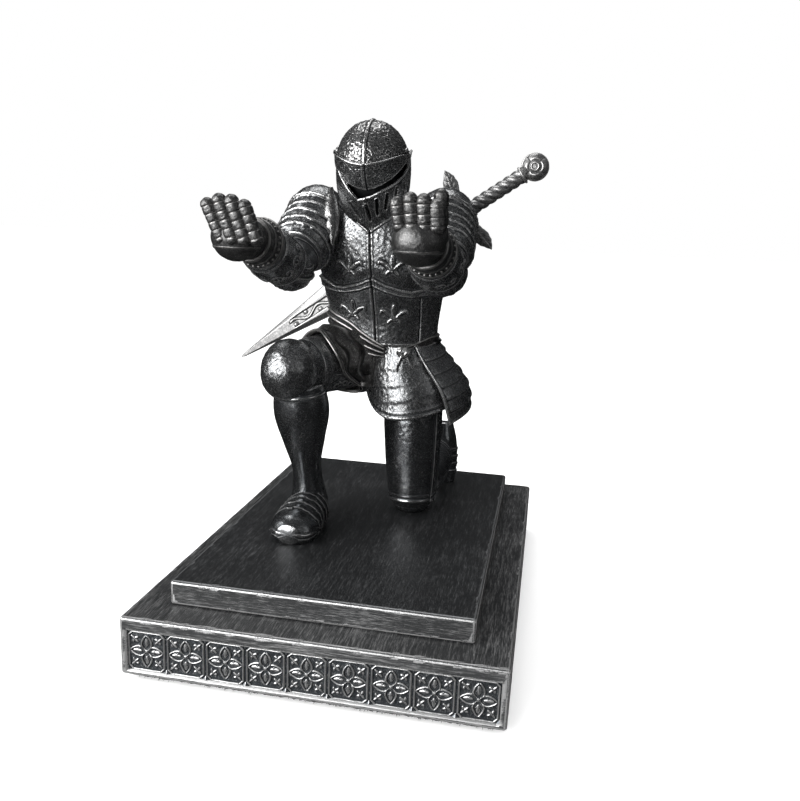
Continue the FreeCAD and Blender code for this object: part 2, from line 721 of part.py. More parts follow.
pommel = ellipsoid(on_sword(size("pommel_from_guard")), "Sizes.pommel_radius", "Sizes.pommel_depth",
                   "Sizes.pommel_radius", sword_turn)
grip = primitive("Part::Cylinder", Placement(on_sword(size("guard_waist") / 2), along_sword),
                 Radius="Sizes.grip_radius", Height="Sizes.grip_length")
name_part("sword_pommel", pommel)
name_part("sword_grip", cut(grip, guard, pommel))

mouth = -size("guard_waist") / 2


def sword_block(near_end, length, depth, width, back_face):
    """A box set square to the sword, its upper end at near_end, its back at back_face."""
    corner = Vector(near_end - size(length), back_face - size(depth), -size(width) / 2)
    return primitive("Part::Box", Placement(sword_place.multVec(corner), sword_turn),
                     Length=f"Sizes.{length}", Width=f"Sizes.{depth}", Height=f"Sizes.{width}")


carrier_back = size("carrier_depth") / 2
sleeve = sword_block(mouth, "carrier_length", "carrier_depth", "carrier_width", carrier_back)
lug_end = mouth - size("carrier_length") + size("lug_length")
lug = sword_block(lug_end, "lug_length", "lug_depth", "lug_width", -carrier_back)
slot = flat_body("carrier_slot", blade_outline(size("slot_slack")),
                 "Sizes.blade_thickness + 2 * Sizes.slot_slack")
name_part("sword_carrier", cut(fuse(sleeve, lug), slot, torso_outside))

# ---------------------------------------------------------------- check and write

doc.recompute()
failed = [obj.Label for obj in doc.Objects if "Invalid" in obj.State or "Error" in obj.State]
for label, obj in finished.items():
    shape = obj.Shape
    if shape.isNull() or not shape.isValid() or not shape.Solids:
        failed.append(label)
if failed:
    raise RuntimeError(f"these objects did not build: {failed}")

os.makedirs("parts", exist_ok=True)
for label, obj in finished.items():
    obj.Shape.exportStep(f"parts/{label}.step")
    print(f"{label:22s} {len(obj.Shape.Solids)} solid(s) {obj.Shape.Volume:10.2f} mm3")
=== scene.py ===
import math

import bmesh
import bpy
import numpy as np
from mathutils import Matrix, Vector


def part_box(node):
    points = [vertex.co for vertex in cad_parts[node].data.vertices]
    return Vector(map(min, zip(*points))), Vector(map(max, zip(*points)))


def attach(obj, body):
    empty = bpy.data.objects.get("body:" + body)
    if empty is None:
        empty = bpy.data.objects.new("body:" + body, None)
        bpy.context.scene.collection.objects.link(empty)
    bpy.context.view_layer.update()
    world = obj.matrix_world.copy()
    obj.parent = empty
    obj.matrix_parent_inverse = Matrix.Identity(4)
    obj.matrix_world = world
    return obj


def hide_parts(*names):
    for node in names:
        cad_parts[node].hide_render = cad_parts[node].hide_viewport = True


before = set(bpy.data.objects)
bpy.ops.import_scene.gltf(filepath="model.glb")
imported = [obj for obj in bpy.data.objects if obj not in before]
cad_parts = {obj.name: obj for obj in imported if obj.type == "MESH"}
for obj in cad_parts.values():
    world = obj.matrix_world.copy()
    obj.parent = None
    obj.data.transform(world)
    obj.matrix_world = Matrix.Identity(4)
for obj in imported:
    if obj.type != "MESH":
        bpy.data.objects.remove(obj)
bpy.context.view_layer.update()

# The looks of the kneeling knight: every armour plate, strap and fold as its own mesh on
# the body it belongs to. Shapes are worked out in millimetres in the CAD frame (+Z up, the
# knight faces -Y, +X is its left) and scaled to metres when a mesh is made. Heights given
# to spot() are above the top of the plinth.

MM = 0.001


# ---------------------------------------------------------------- places from the frame

def vec(x, y, z):
    return np.array((x, y, z), float)


def extent(node):
    """Lowest and highest corner of a CAD node, in millimetres."""
    low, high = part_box(node)
    return np.array(low) / MM, np.array(high) / MM


STAGE = extent("upper_step")[1][2]


def spot(x, y, height):
    return vec(x, y, STAGE + height)


def unit(v):
    return v / np.linalg.norm(v)


# ---------------------------------------------------------------- grids of points

def lines(first, last, step, folds=(), gap=0.06):
    """Grid lines about a step apart, with a close pair at every fold."""
    inner = [fold + side * gap / 2 for fold in folds for side in (-1, 1)]
    stops = sorted([first, last] + [stop for stop in inner if first < stop < last])
    runs = [np.linspace(a, b, max(1, round((b - a) / step)), endpoint=False)
            for a, b in zip(stops, stops[1:])]
    return np.concatenate(runs + [[last]])


def spline(knots, values, at):
    """Smooth values between the knots, straight on past the ends."""
    knots, values, at = (np.asarray(a, float) for a in (knots, values, at))
    slopes = np.gradient(values, knots)
    i = np.clip(np.searchsorted(knots, at, side="right") - 1, 0, len(knots) - 2)
    span = knots[i + 1] - knots[i]
    t = np.clip((at - knots[i]) / span, 0, 1)
    inside = (values[i] * (2 * t ** 3 - 3 * t ** 2 + 1) + values[i + 1] * (3 * t ** 2 - 2 * t ** 3)
              + span * (slopes[i] * (t ** 3 - 2 * t ** 2 + t) + slopes[i + 1] * (t ** 3 - t ** 2)))
    return inside + slopes[0] * np.minimum(at - knots[0], 0) + slopes[-1] * np.maximum(at - knots[-1], 0)


def tube(start, end, stations, shares, angles):
    """A tapered limb. Each station is (share, half across, half deep); angle 0 is across, 90 deep.
    The shares may differ over the whole grid."""
    axis = unit(end - start)
    across = unit(vec(1, 0, 0) - axis * axis[0])
    deep = np.cross(axis, across)
    knots, wide, thick = zip(*stations)
    turn = np.radians(angles)[None, :, None]
    share = np.asarray(shares)
    share = share.reshape(len(share), -1, 1)
    wide, thick = (spline(knots, sizes, share) for sizes in (wide, thick))
    return start + share * (end - start) + across * wide * np.cos(turn) + deep * thick * np.sin(turn)


def egg(centre, half, pole, latitudes, longitudes):
    """An ellipsoid, its rows running from one pole to the other."""
    pole = unit(pole)
    first = unit(np.cross(pole, vec(0, 0, 1) if abs(pole[2]) < 0.9 else vec(1, 0, 0)))
    second = np.cross(pole, first)
    lat = np.radians(latitudes)[:, None, None]
    lon = np.radians(longitudes)[None, :, None]
    ball = np.cos(lat) * (first * np.cos(lon) + second * np.sin(lon)) + pole * np.sin(lat)
    return centre + half * ball


def ringed(rings, heights, angles):
    """An upright shell. Each ring is (height, middle x, middle y, half across, half deep); angle 0 is
    straight ahead and 90 the knight's left. Heights and angles may differ over the whole grid."""
    heights = heights if np.ndim(heights) == 2 else np.asarray(heights)[:, None]
    heights, turn = np.broadcast_arrays(heights, np.radians(np.atleast_2d(angles)))
    knots, *columns = zip(*rings)
    x, y, across, deep = (spline(knots, column, heights) for column in columns)
    return np.stack([x + across * np.sin(turn), y - deep * np.cos(turn), STAGE + heights], -1)


def outward(grid, wrap=False):
    """Unit normals of a grid, facing away from its middle."""
    down = np.gradient(grid, axis=0)
    across = np.roll(grid, -1, 1) - np.roll(grid, 1, 1) if wrap else np.gradient(grid, axis=1)
    normal = np.cross(down, across)
    normal /= np.maximum(np.linalg.norm(normal, axis=2, keepdims=True), 1e-9)
    facing = ((grid - grid.reshape(-1, 3).mean(0)) * normal).sum()
    return normal if facing > 0 else -normal


def raised(grid, height, wrap=False):
    return grid + outward(grid, wrap) * np.asarray(height)[..., None]


# ---------------------------------------------------------------- solids from grids

def quads(index, wrap):
    right = np.roll(index, -1, 1) if wrap else index[:, 1:]
    left = index if wrap else index[:, :-1]
    return np.stack([left[:-1], right[:-1], right[1:], left[1:]], -1).reshape(-1, 4)


def band(outer, inner, wrap):
    """Quads between two matching rows of vertex numbers."""
    return quads(np.stack([outer, inner]), wrap)


def closed(grid):
    """A solid from a grid that wraps round, with both ends closed."""
    rows, columns = grid.shape[:2]
    index = np.arange(rows * columns).reshape(rows, columns)
    ends = np.stack([grid[0].mean(0), grid[-1].mean(0)])
    fans = [np.stack([row, np.roll(row, -1), np.full(columns, rows * columns + number)], -1)
            for number, row in enumerate((index[0], index[-1]))]
    return np.concatenate([grid.reshape(-1, 3), ends]), quads(index, True), np.concatenate(fans)


NO_TRIANGLES = np.zeros((0, 3), int)


def between(face, back, wrap=False):
    """A solid from two matching grids, one behind the other."""
    rows, columns = face.shape[:2]
    outer = np.arange(rows * columns).reshape(rows, columns)
    inner = outer + rows * columns
    faces = [quads(outer, wrap), quads(inner, wrap)[:, ::-1]]
    faces += [band(outer[row], inner[row], wrap) for row in (0, -1)]
    if not wrap:
        faces += [band(outer[:, column], inner[:, column], False) for column in (0, -1)]
    return np.concatenate([face, back]).reshape(-1, 3), np.concatenate(faces), NO_TRIANGLES


def plate(grid, wall, wrap=False):
    """A plate of even thickness whose outer face is the grid."""
    return between(grid, grid - outward(grid, wrap) * wall, wrap)


def cord(path, radius, sides=10, twist=0.0, flat=1.0, lobes=0, lobe_depth=0.0, loop=False):
    """A round, flattened or twisted cord along a path. The radius may differ from point to point."""
    path = np.asarray(path, float)
    radius = np.broadcast_to(np.asarray(radius, float), len(path))
    ahead = np.roll(path, -1, 0) - np.roll(path, 1, 0) if loop else np.gradient(path, axis=0)
    ahead /= np.linalg.norm(ahead, axis=1, keepdims=True)
    side = np.cross(ahead[0], vec(0, 0, 1) if abs(ahead[0][2]) < 0.9 else vec(1, 0, 0))
    turn = np.radians(np.arange(sides) * 360 / sides)
    rows, travelled = [], 0.0
    for number, (point, along) in enumerate(zip(path, ahead)):
        side = unit(side - along * side.dot(along))
        other = np.cross(along, side)
        travelled += np.linalg.norm(point - path[max(number - 1, 0)])
        hollow = 1 - np.abs(np.cos(lobes / 2 * (turn - twist * travelled)))
        reach = radius[number] * (1 - lobe_depth * hollow)
        rows.append(point + np.outer(reach * np.cos(turn), side)
                    + np.outer(reach * np.sin(turn) * flat, other))
    grid = np.stack(rows)
    if loop:
        index = np.arange(len(path) * sides).reshape(len(path), sides)
        index = np.concatenate([index, index[:1]])
        return grid.reshape(-1, 3), quads(index, True), NO_TRIANGLES
    return closed(grid)


def smooth_path(points, count):
    """A smooth path through a few points."""
    points = np.asarray(points, float)
    at = np.linspace(0, len(points) - 1, count)
    return np.stack([spline(range(len(points)), column, at) for column in points.T], -1)


def circle(count):
    """Angles in radians once round a circle."""
    return np.linspace(0, 2 * math.pi, count, endpoint=False)


def bead(centre, radius, sides):
    angles = np.arange(sides) * 360 / sides
    return closed(egg(centre, np.full(3, radius), vec(0, 0, 1), np.linspace(-84, 84, sides), angles))


# ---------------------------------------------------------------- relief

def lumps(points, size, seed=1):
    """Smooth noise from -1 to 1 with lumps of a given size."""
    table = np.random.default_rng(seed).uniform(-1, 1, (32, 32, 32))
    base = np.floor(points / size).astype(int)
    t = points / size - base
    t = t * t * (3 - 2 * t)
    total = 0.0
    for corner in np.ndindex(2, 2, 2):
        i = (base + corner) % 32
        weight = np.where(corner, t, 1 - t).prod(-1)
        total = total + weight * table[i[..., 0], i[..., 1], i[..., 2]]
    return total


def hammered(points, depth=0.05, size=0.8):
    """The pitted face of cast and hammered metal."""
    return depth * (0.6 * lumps(points, size, 3) + 0.5 * lumps(points, size / 2, 4))


def bump(distance, width):
    """A rounded ridge: 1 at distance 0, 0 from the width on."""
    return np.sqrt(np.clip(1 - (distance / width) ** 2, 0, 1))


def lames(x, edges, rise, rim=0.12, rim_width=0.35):
    """Overlapping plates along x: each climbs to a rolled edge, then drops to the next one."""
    edges = np.asarray(edges, float)
    i = np.clip(np.searchsorted(edges, x, side="left") - 1, 0, len(edges) - 2)
    share = np.clip((x - edges[i]) / (edges[i + 1] - edges[i]), 0, 1)
    near = bump(np.clip(edges[i + 1] - x, 0, None) - rim_width, rim_width)
    on = (x > edges[0]) & (x <= edges[-1])
    return np.where(on, rise * share + rim * near, 0.0)


def stroke(u, v, path, width, height, tip=0.25):
    """A raised brush stroke along a smooth path in a plane, swelling in its middle."""
    u, v = np.broadcast_arrays(u, v)
    points = smooth_path(path, 8 * len(path))
    swell = tip + (1 - tip) * np.sin(np.linspace(0.12, 0.92, len(points)) * math.pi)
    reach = np.abs(points).max() + width
    out = np.zeros(np.shape(u))
    near = (np.abs(u) < reach) & (np.abs(v) < reach)
    gap = (u[near][:, None] - points[:, 0]) ** 2 + (v[near][:, None] - points[:, 1]) ** 2
    out[near] = height * np.sqrt(np.clip(1 - (gap / (width * swell) ** 2).min(-1), 0, 1))
    return out


def curl(turns, radius, start=0.0):
    """A spiral path that winds in to its middle."""
    t = np.linspace(0, 1, 9)
    angle = math.radians(start) + 2 * math.pi * turns * t
    return np.stack([radius * (1 - 0.85 * t) * np.cos(angle), radius * (1 - 0.85 * t) * np.sin(angle)], -1)


def lily(u, v, size):
    """A plain heraldic lily in relief: a tall leaf, two side petals that curl out, and a tuft below."""
    u, v = u / size, v / size
    arm = np.abs(u)
    petal = stroke(arm, v, [(0.04, -0.24), (0.26, -0.06), (0.5, 0.2), (0.78, 0.34), (0.9, 0.12)], 0.16, 1.0)
    leaf = bump(arm, 0.2 * bump(v - 0.34, 0.56) + 1e-6) * (np.abs(v - 0.34) < 0.55)
    tuft = stroke(arm, v, [(0.05, -0.3), (0.24, -0.42), (0.42, -0.66)], 0.13, 0.8)
    knot = bump(np.hypot(u, v + 0.36), 0.14)
    tie = bump(v + 0.2, 0.08) * (arm < 0.2)
    return np.max([petal, leaf, tuft, knot, tie], axis=0)


# ---------------------------------------------------------------- finishes

def feed(tree, node, inputs):
    """Link or set inputs of a node."""
    for name, value in inputs.items():
        if isinstance(value, bpy.types.NodeSocket):
            tree.links.new(value, node.inputs[name])
        else:
            node.inputs[name].default_value = value


def add_node(tree, kind, inputs=None, **settings):
    node = tree.nodes.new(kind)
    for name, value in settings.items():
        setattr(node, name, value)
    feed(tree, node, inputs or {})
    return node


def math_node(tree, operation, first, second, clamp=False):
    return add_node(tree, "ShaderNodeMath", {0: first, 1: second}, operation=operation,
                    use_clamp=clamp).outputs[0]


def weighted(tree, *terms):
    """The sum of some (value, weight) terms."""
    parts = [value if weight == 1 else math_node(tree, "MULTIPLY", value, weight)
             for value, weight in terms]
    total = parts.pop()
    while parts:
        total = math_node(tree, "ADD", parts.pop(), total)
    return total


def noise_node(tree, coordinates, scale, stretch=(1, 1, 1), detail=3.0, roughness=0.6):
    """Noise by position: scale is lumps per millimetre, before the stretch."""
    place = add_node(tree, "ShaderNodeMapping",
                     {"Vector": coordinates, "Scale": [scale * s / MM for s in stretch]})
    return add_node(tree, "ShaderNodeTexNoise",
                    {"Vector": place.outputs[0], "Scale": 1.0, "Detail": detail,
                     "Roughness": roughness}).outputs[0]


def ramp_node(tree, value, low, high):
    """0 below low, 1 above high, smooth between."""
    return add_node(tree, "ShaderNodeMapRange", {"Value": value, "From Min": low, "From Max": high},
                    interpolation_type="SMOOTHSTEP").outputs[0]


def mix_colours(tree, share, first, second):
    return add_node(tree, "ShaderNodeMix", {0: share, 6: first, 7: second}, data_type="RGBA").outputs[2]


def bump_node(tree, height, depth, strength=0.6):
    """Fine relief, with its depth in millimetres."""
    return add_node(tree, "ShaderNodeBump",
                    {"Height": height, "Strength": strength, "Distance": depth * MM}).outputs[0]


def wear_nodes(tree):
    """How far a point stands out, and how deep it lies, as stored with each mesh."""
    return (add_node(tree, "ShaderNodeAttribute", attribute_name=name).outputs["Fac"]
            for name in ("ridge", "crevice"))


def grey(value, warmth=0.0):
    """A metal grey, cooler below zero warmth and warmer above."""
    return (value * (1 + warmth), value, value * (1 - warmth), 1)


def start_material(name):
    material = bpy.data.materials.new(name)
    material.use_nodes = True
    tree = material.node_tree
    shader = tree.nodes["Principled BSDF"]
    coordinates = add_node(tree, "ShaderNodeTexCoord").outputs["Object"]
    return material, tree, shader, coordinates


GRAIN_STRETCH = (1, 1, 0.5)
PATCHES_PER_MM = 0.3
SPECKS_PER_MM = 6.0


def antique_metal(name, dark, body, bright, rub, pits=4.5, pit_depth=0.06, gloss=0.3):
    """Cast metal painted black, dry-brushed with silver on its high spots and worn edges.

    Rub is how much silver the broad faces carry, pits the lumps per millimetre of its grain."""
    material, tree, shader, at = start_material(name)
    ridge, crevice = wear_nodes(tree)
    grain = noise_node(tree, at, pits, GRAIN_STRETCH, detail=6.0, roughness=0.75)
    patches = noise_node(tree, at, PATCHES_PER_MM, detail=5.0, roughness=0.75)
    specks = noise_node(tree, at, SPECKS_PER_MM, detail=2.0)
    rubbed = weighted(tree, (grain, 1.3), (patches, 0.35))
    faces = ramp_node(tree, rubbed, 0.98 - 0.4 * rub, 1.28 - 0.4 * rub)
    edges = ramp_node(tree, weighted(tree, (ridge, 1), (grain, 0.7)), 0.6, 1.05)
    silver = math_node(tree, "MAXIMUM", faces, edges, clamp=True)
    pitted = ramp_node(tree, specks, 0.58, 0.7)
    shade = ramp_node(tree, weighted(tree, (crevice, 1), (pitted, 0.5)), 0.1, 0.7)
    colour = mix_colours(tree, silver, grey(*body), grey(*bright))
    feed(tree, shader, {
        "Base Color": mix_colours(tree, shade, colour, grey(*dark)),
        "Roughness": weighted(tree, (shade, 0.25), (grain, 0.2), (gloss - 0.1, 1)),
        "Metallic": weighted(tree, (shade, -0.3), (0.97, 1)),
        "Normal": bump_node(tree, weighted(tree, (grain, 1), (specks, 0.5)), pit_depth)})
    return material


FINE_STREAKS_PER_MM, BROAD_STREAKS_PER_MM = 9.0, 2.8
STREAK_STRETCH = 0.05


def brushed_paint(name, streak_axis, dark, bright, amount):
    """Black paint over metal, combed with fine silver brush streaks along one axis."""
    material, tree, shader, at = start_material(name)
    ridge, crevice = wear_nodes(tree)
    along = [STREAK_STRETCH if axis == streak_axis else 1.0 for axis in range(3)]
    fine = noise_node(tree, at, FINE_STREAKS_PER_MM, along, detail=4.0, roughness=0.7)
    broad = noise_node(tree, at, BROAD_STREAKS_PER_MM, along, detail=4.0, roughness=0.7)
    patches = noise_node(tree, at, 0.06)
    specks = noise_node(tree, at, 3.4)
    combed = weighted(tree, (fine, 0.6), (broad, 0.4), (patches, 0.14))
    streaks = ramp_node(tree, combed, 0.72 - 0.3 * amount, 0.94 - 0.26 * amount)
    flecks = weighted(tree, (ramp_node(tree, specks, 0.68, 0.74), 0.5))
    edges = ramp_node(tree, weighted(tree, (ridge, 2.2), (specks, 1.1)), 1.2, 1.67)
    silver = math_node(tree, "MAXIMUM", math_node(tree, "MAXIMUM", streaks, flecks), edges, clamp=True)
    colour = mix_colours(tree, silver, grey(*dark), grey(*bright))
    feed(tree, shader, {
        "Base Color": mix_colours(tree, ramp_node(tree, crevice, 0.2, 0.8), colour, grey(0.01)),
        "Metallic": weighted(tree, (silver, 0.4), (0.3, 1)),
        "Roughness": weighted(tree, (fine, 0.3), (0.18, 1)),
        "Normal": bump_node(tree, combed, 0.1)})
    return material


def felt_cloth(name):
    """Dense dark felt."""
    material, tree, shader, at = start_material(name)
    fibres = noise_node(tree, at, 3.0, detail=6.0, roughness=0.8)
    feed(tree, shader, {
        "Base Color": mix_colours(tree, fibres, grey(0.006), grey(0.05)),
        "Roughness": 0.95, "Sheen Weight": 0.3,
        "Normal": bump_node(tree, fibres, 0.3, strength=1.0)})
    return material


BLACKENED = (0.012, -0.1)
PEWTER = antique_metal("pewter_armour", BLACKENED, (0.13, -0.03), (0.46, 0.0), rub=0.56, gloss=0.26)
SMOOTH = antique_metal("pewter_smooth", BLACKENED, (0.115, -0.05), (0.42, 0.0), rub=0.48, pit_depth=0.025,
                       gloss=0.22)
HAMMERED = antique_metal("pewter_hammered", BLACKENED, (0.13, 0.0), (0.5, 0.01), rub=0.5, pits=3.8,
                         pit_depth=0.045, gloss=0.22)
CLOTH = antique_metal("pewter_tunic", (0.008, -0.1), (0.08, 0.02), (0.45, 0.02), rub=0.4, gloss=0.32)
GLOVE = antique_metal("pewter_glove", (0.008, -0.1), (0.085, 0.0), (0.28, 0.02), rub=0.4, pit_depth=0.04,
                      gloss=0.42)
MAIL = antique_metal("dark_mail", (0.004, -0.1), (0.03, -0.05), (0.25, 0.0), rub=0.1, gloss=0.4)
SILVER = antique_metal("sword_silver", (0.05, -0.02), (0.24, 0.0), (0.5, 0.01), rub=0.6, pits=3.0,
                       pit_depth=0.03, gloss=0.42)
STEEL = antique_metal("screw_steel", (0.05, 0.0), (0.4, 0.0), (0.7, 0.0), rub=0.7, gloss=0.25)
FRIEZE = antique_metal("frieze_silver", (0.016, -0.15), (0.12, -0.1), (0.6, 0.0), rub=0.4, pits=4.0,
                       gloss=0.38)
TOP_PAINT = brushed_paint("plinth_top_paint", 1, (0.014, -0.05), (0.2, -0.02), 0.5)
SIDE_PAINT = brushed_paint("plinth_side_paint", 0, (0.025, -0.03), (0.42, 0.0), 0.55)
SLAB_PAINT = brushed_paint("slab_top_paint", 1, (0.02, -0.04), (0.3, 0.0), 0.62)
MARGIN_PAINT = brushed_paint("plinth_margin_paint", 0, (0.03, -0.03), (0.4, 0.0), 0.6)
FELT = felt_cloth("felt_fibre")


# ---------------------------------------------------------------- pieces

def mark_wear(mesh):
    """Store how sharply each vertex stands out (ridge) or lies in a hollow (crevice), from 0 to 1."""
    count = len(mesh.vertices)
    points, normals = np.empty(count * 3, np.float32), np.empty(count * 3, np.float32)
    ends = np.empty(len(mesh.edges) * 2, np.int32)
    mesh.vertices.foreach_get("co", points)
    mesh.vertices.foreach_get("normal", normals)
    mesh.edges.foreach_get("vertices", ends)
    points, normals = points.reshape(-1, 3) / MM, normals.reshape(-1, 3)
    a, b = ends.reshape(-1, 2).T
    step = points[b] - points[a]
    length = np.maximum((step ** 2).sum(1), 0.01)
    high, low = np.zeros(count), np.zeros(count)
    for here, sign in ((a, -2.0), (b, 2.0)):
        bend = sign * (step * normals[here]).sum(1) / length
        np.maximum.at(high, here, bend)
        np.minimum.at(low, here, bend)
    near = np.bincount(a, minlength=count) + np.bincount(b, minlength=count)
    for label, bend in (("ridge", high / 3.0), ("crevice", -low / 2.4)):
        value = np.clip(bend, 0, 1)
        around = np.bincount(a, value[b], count) + np.bincount(b, value[a], count)
        value = 0.55 * value + 0.45 * around / np.maximum(near, 1)
        mesh.attributes.new(label, "FLOAT", "POINT").data.foreach_set("value", value.astype(np.float32))


def piece(name, solids, body, slot, material, *nodes):
    """One mesh from closed solids, on its body, in the place of its CAD nodes."""
    points, faces, count = [], [], 0
    for own_points, four_sided, three_sided in solids:
        points.append(own_points)
        faces += (four_sided + count).tolist() + (three_sided + count).tolist()
        count += len(own_points)
    mesh = bpy.data.meshes.new(name)
    mesh.from_pydata((np.concatenate(points) * MM).tolist(), [], faces)
    shape = bmesh.new()
    shape.from_mesh(mesh)
    bmesh.ops.recalc_face_normals(shape, faces=shape.faces)
    shape.to_mesh(mesh)
    shape.free()
    mesh.shade_smooth()
    mark_wear(mesh)
    mesh.materials.append(material)
    obj = bpy.data.objects.new(name, mesh)
    bpy.context.scene.collection.objects.link(obj)
    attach(obj, body)
    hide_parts(*nodes)
    return obj


def armour(name, solids, *nodes, material=PEWTER, body="figure", slot="pewter_paint"):
    piece(name, solids, body, slot, material, *nodes)


# ---------------------------------------------------------------- plinth

BLOCK_STEP = 0.7


def rounded_block(low, high, radius, cuts=None, wobble=0.0):
    """A block with rolled, slightly uneven edges, as a closed mesh. Cuts give extra grid lines by axis."""
    curve = radius * np.array([0, 0.12, 0.3, 0.55, 0.8, 1.0])
    stops = []
    for axis in range(3):
        inner = lines(low[axis] + radius, high[axis] - radius, BLOCK_STEP, (cuts or {}).get(axis, ()),
                      gap=0.1)
        stops.append(np.unique(np.concatenate([low[axis] + curve, inner, high[axis] - curve])))
    core_low, core_high = low + radius, high - radius
    points, faces, count = [], [], 0
    for axis in range(3):
        first, second = (axis + 1) % 3, (axis + 2) % 3
        for end in (low[axis], high[axis]):
            flat = np.empty((len(stops[first]), len(stops[second]), 3))
            flat[..., first], flat[..., second] = stops[first][:, None], stops[second][None, :]
            flat[..., axis] = end
            core = np.clip(flat, core_low, core_high)
            away = flat - core
            reach = np.linalg.norm(away, axis=2, keepdims=True)
            rolled = (np.abs(away) > 1e-6).sum(2, keepdims=True) > 1
            uneven = wobble * (lumps(core, 2.0, 9) + 0.6 * lumps(core, 1.0, 10))[..., None] * rolled
            points.append((core + away / reach * (radius + uneven)).reshape(-1, 3))
            index = np.arange(flat.shape[0] * flat.shape[1]).reshape(flat.shape[:2]) + count
            faces.append(quads(index, False))
            count += index.size
    points, faces = np.concatenate(points), np.concatenate(faces)
    shared, where = np.unique(points.round(4), axis=0, return_inverse=True)
    return shared, where.reshape(-1)[faces], NO_TRIANGLES


slab_low, slab_high = extent("base_plinth")
step_low, step_high = extent("upper_step")
frieze_low, frieze_high = extent("front_frieze")
EDGE_ROUND = 0.7

slab = rounded_block(slab_low, slab_high, EDGE_ROUND, wobble=0.05,
                     cuts={0: (frieze_low[0], frieze_high[0]), 2: (frieze_low[2], frieze_high[2])})
slab_points = slab[0]
framed = (slab_points > frieze_low) & (slab_points < frieze_high)
in_recess = (slab_points[:, 1] < slab_low[1] + 0.01) & framed[:, 0] & framed[:, 2]
slab_points[in_recess, 1] = frieze_high[1]
slab_piece = piece("plinth_slab", [slab], "figure", "base_paint", MARGIN_PAINT, "base_plinth")
step_block = rounded_block(step_low, step_high, EDGE_ROUND, wobble=0.04)
step_piece = piece("plinth_step", [step_block], "figure", "base_paint", SIDE_PAINT, "upper_step")


def paint_tops(block, paint):
    """Give the level faces of a block the paint that is combed front to back."""
    block.data.materials.append(paint)
    for polygon in block.data.polygons:
        if polygon.normal.z > 0.7:
            polygon.material_index = 1


paint_tops(slab_piece, SLAB_PAINT)
paint_tops(step_piece, TOP_PAINT)

TILES = 9
pitch = (frieze_high[0] - frieze_low[0]) / TILES
tile_tall = (frieze_high[2] - frieze_low[2]) / 2
tile_wide = pitch / 2


def flower_tile(u, v):
    """Relief of one tile: a framed flower of four looped petals, with a sprig in each corner."""
    u, v = np.abs(u), np.abs(v)
    far, near = np.maximum(u, v), np.minimum(u, v)
    t = np.clip((far - 0.15) / 3.45, 0, 1)
    loop_half = 1.08 * np.sin(math.pi * t ** 0.8) ** 0.75
    on_petal = (far > 0.15) & (far < 3.6)
    loop = bump(near - loop_half, 0.2) * on_petal
    bud = bump(near, 0.42 * bump(far - 2.0, 0.95) + 1e-6) * (np.abs(far - 2.0) < 0.94)
    bar = bump(far - 1.75, 0.16) * (near < 0.5)
    boss = bump(far, 0.42) * (near < 0.4)
    along, across = (u + v) / math.sqrt(2), (u - v) / math.sqrt(2)
    sprig = stroke(along - 3.7, across, [(-0.95, 0), (0, 0), (0.9, 0)], 0.3, 0.9)
    cross = stroke(along - 3.7, np.abs(across), [(0.05, 0.05), (-0.1, 0.5), (-0.3, 0.78)], 0.26, 0.8)
    chamfer = (u + v - tile_wide - tile_tall + 1.5) / 1.42
    edge = np.max([u - (tile_wide - 0.42), v - (tile_tall - 0.3), chamfer], axis=0)
    frame_line = bump(edge, 0.2)
    corner = np.clip(1.2 - (tile_wide - u) * 1.6 - (tile_tall - v) * 1.1, 0, 1)
    return np.max([loop, bud * 0.7, bar * 0.5, boss, sprig, cross, frame_line, corner], axis=0)


COLUMNS_PER_TILE, TILE_ROWS = 88, 92
FLOOR_DEPTH, CARVING_RISE = 0.42, 0.38
grid_x = np.linspace(frieze_low[0], frieze_high[0], TILES * COLUMNS_PER_TILE + 1)
grid_z = np.linspace(frieze_low[2], frieze_high[2], TILE_ROWS)
flat = np.stack(np.broadcast_arrays(grid_x[None, :], frieze_low[1] + FLOOR_DEPTH, grid_z[:, None]), -1)
tile_u = (grid_x - frieze_low[0]) % pitch - tile_wide
tile_v = grid_z - (frieze_low[2] + frieze_high[2]) / 2
carving = flower_tile(*np.broadcast_arrays(tile_u[None, :], tile_v[:, None]))
flat[..., 1] -= CARVING_RISE * carving * (1 + 0.12 * lumps(flat, 1.1, 5)) + 0.03 * lumps(flat, 0.5, 6)
back = flat.copy()
back[..., 1] = frieze_high[1]
piece("frieze_tiles", [between(flat, back)], "figure", "frieze_silver", FRIEZE, "front_frieze")

pad_low, pad_high = extent("felt_pad")
pad = rounded_block(pad_low, pad_high, 0.3)
pad_points = pad[0]
fuzz = 0.35 * lumps(pad_points * (1, 1, 3), 0.5, 12)[:, None] * np.sign(pad_points[:, :2])
pad_points[:, :2] += fuzz * (np.abs(pad_points[:, :2]) > pad_high[:2] - 0.4)
chance = np.random.default_rng(7)
FIBRES = 900
fibres = []
for number in range(FIBRES):
    along = chance.uniform(-1, 1)
    root = vec(along * pad_high[0], pad_low[1] + 0.2, chance.uniform(0.1, pad_high[2] - 0.1))
    out = vec(chance.uniform(-0.5, 0.5), -1, chance.uniform(-0.5, 0.1)) * chance.uniform(0.4, 1.1)
    if number % 3:
        side = 1 if number % 2 else -1
        root = vec(side * (pad_high[0] - 0.2), along * pad_high[1], root[2])
        out = vec(-side * out[1], out[0], out[2])
    path = smooth_path([root, root + out * 0.6, root + out + vec(0, 0, -0.15)], 4)
    path[:, 2] = np.maximum(path[:, 2], 0.06)
    fibres.append(cord(path, [0.06, 0.05, 0.04, 0.015], sides=3))
piece("felt_foot", [pad] + fibres, "figure", "felt", FELT, "felt_pad")


# ---------------------------------------------------------------- shared builders


def above_stage(grid):
    """Keep a face from sinking into the plinth."""
    grid[..., 2] = np.maximum(grid[..., 2], STAGE)
    return grid


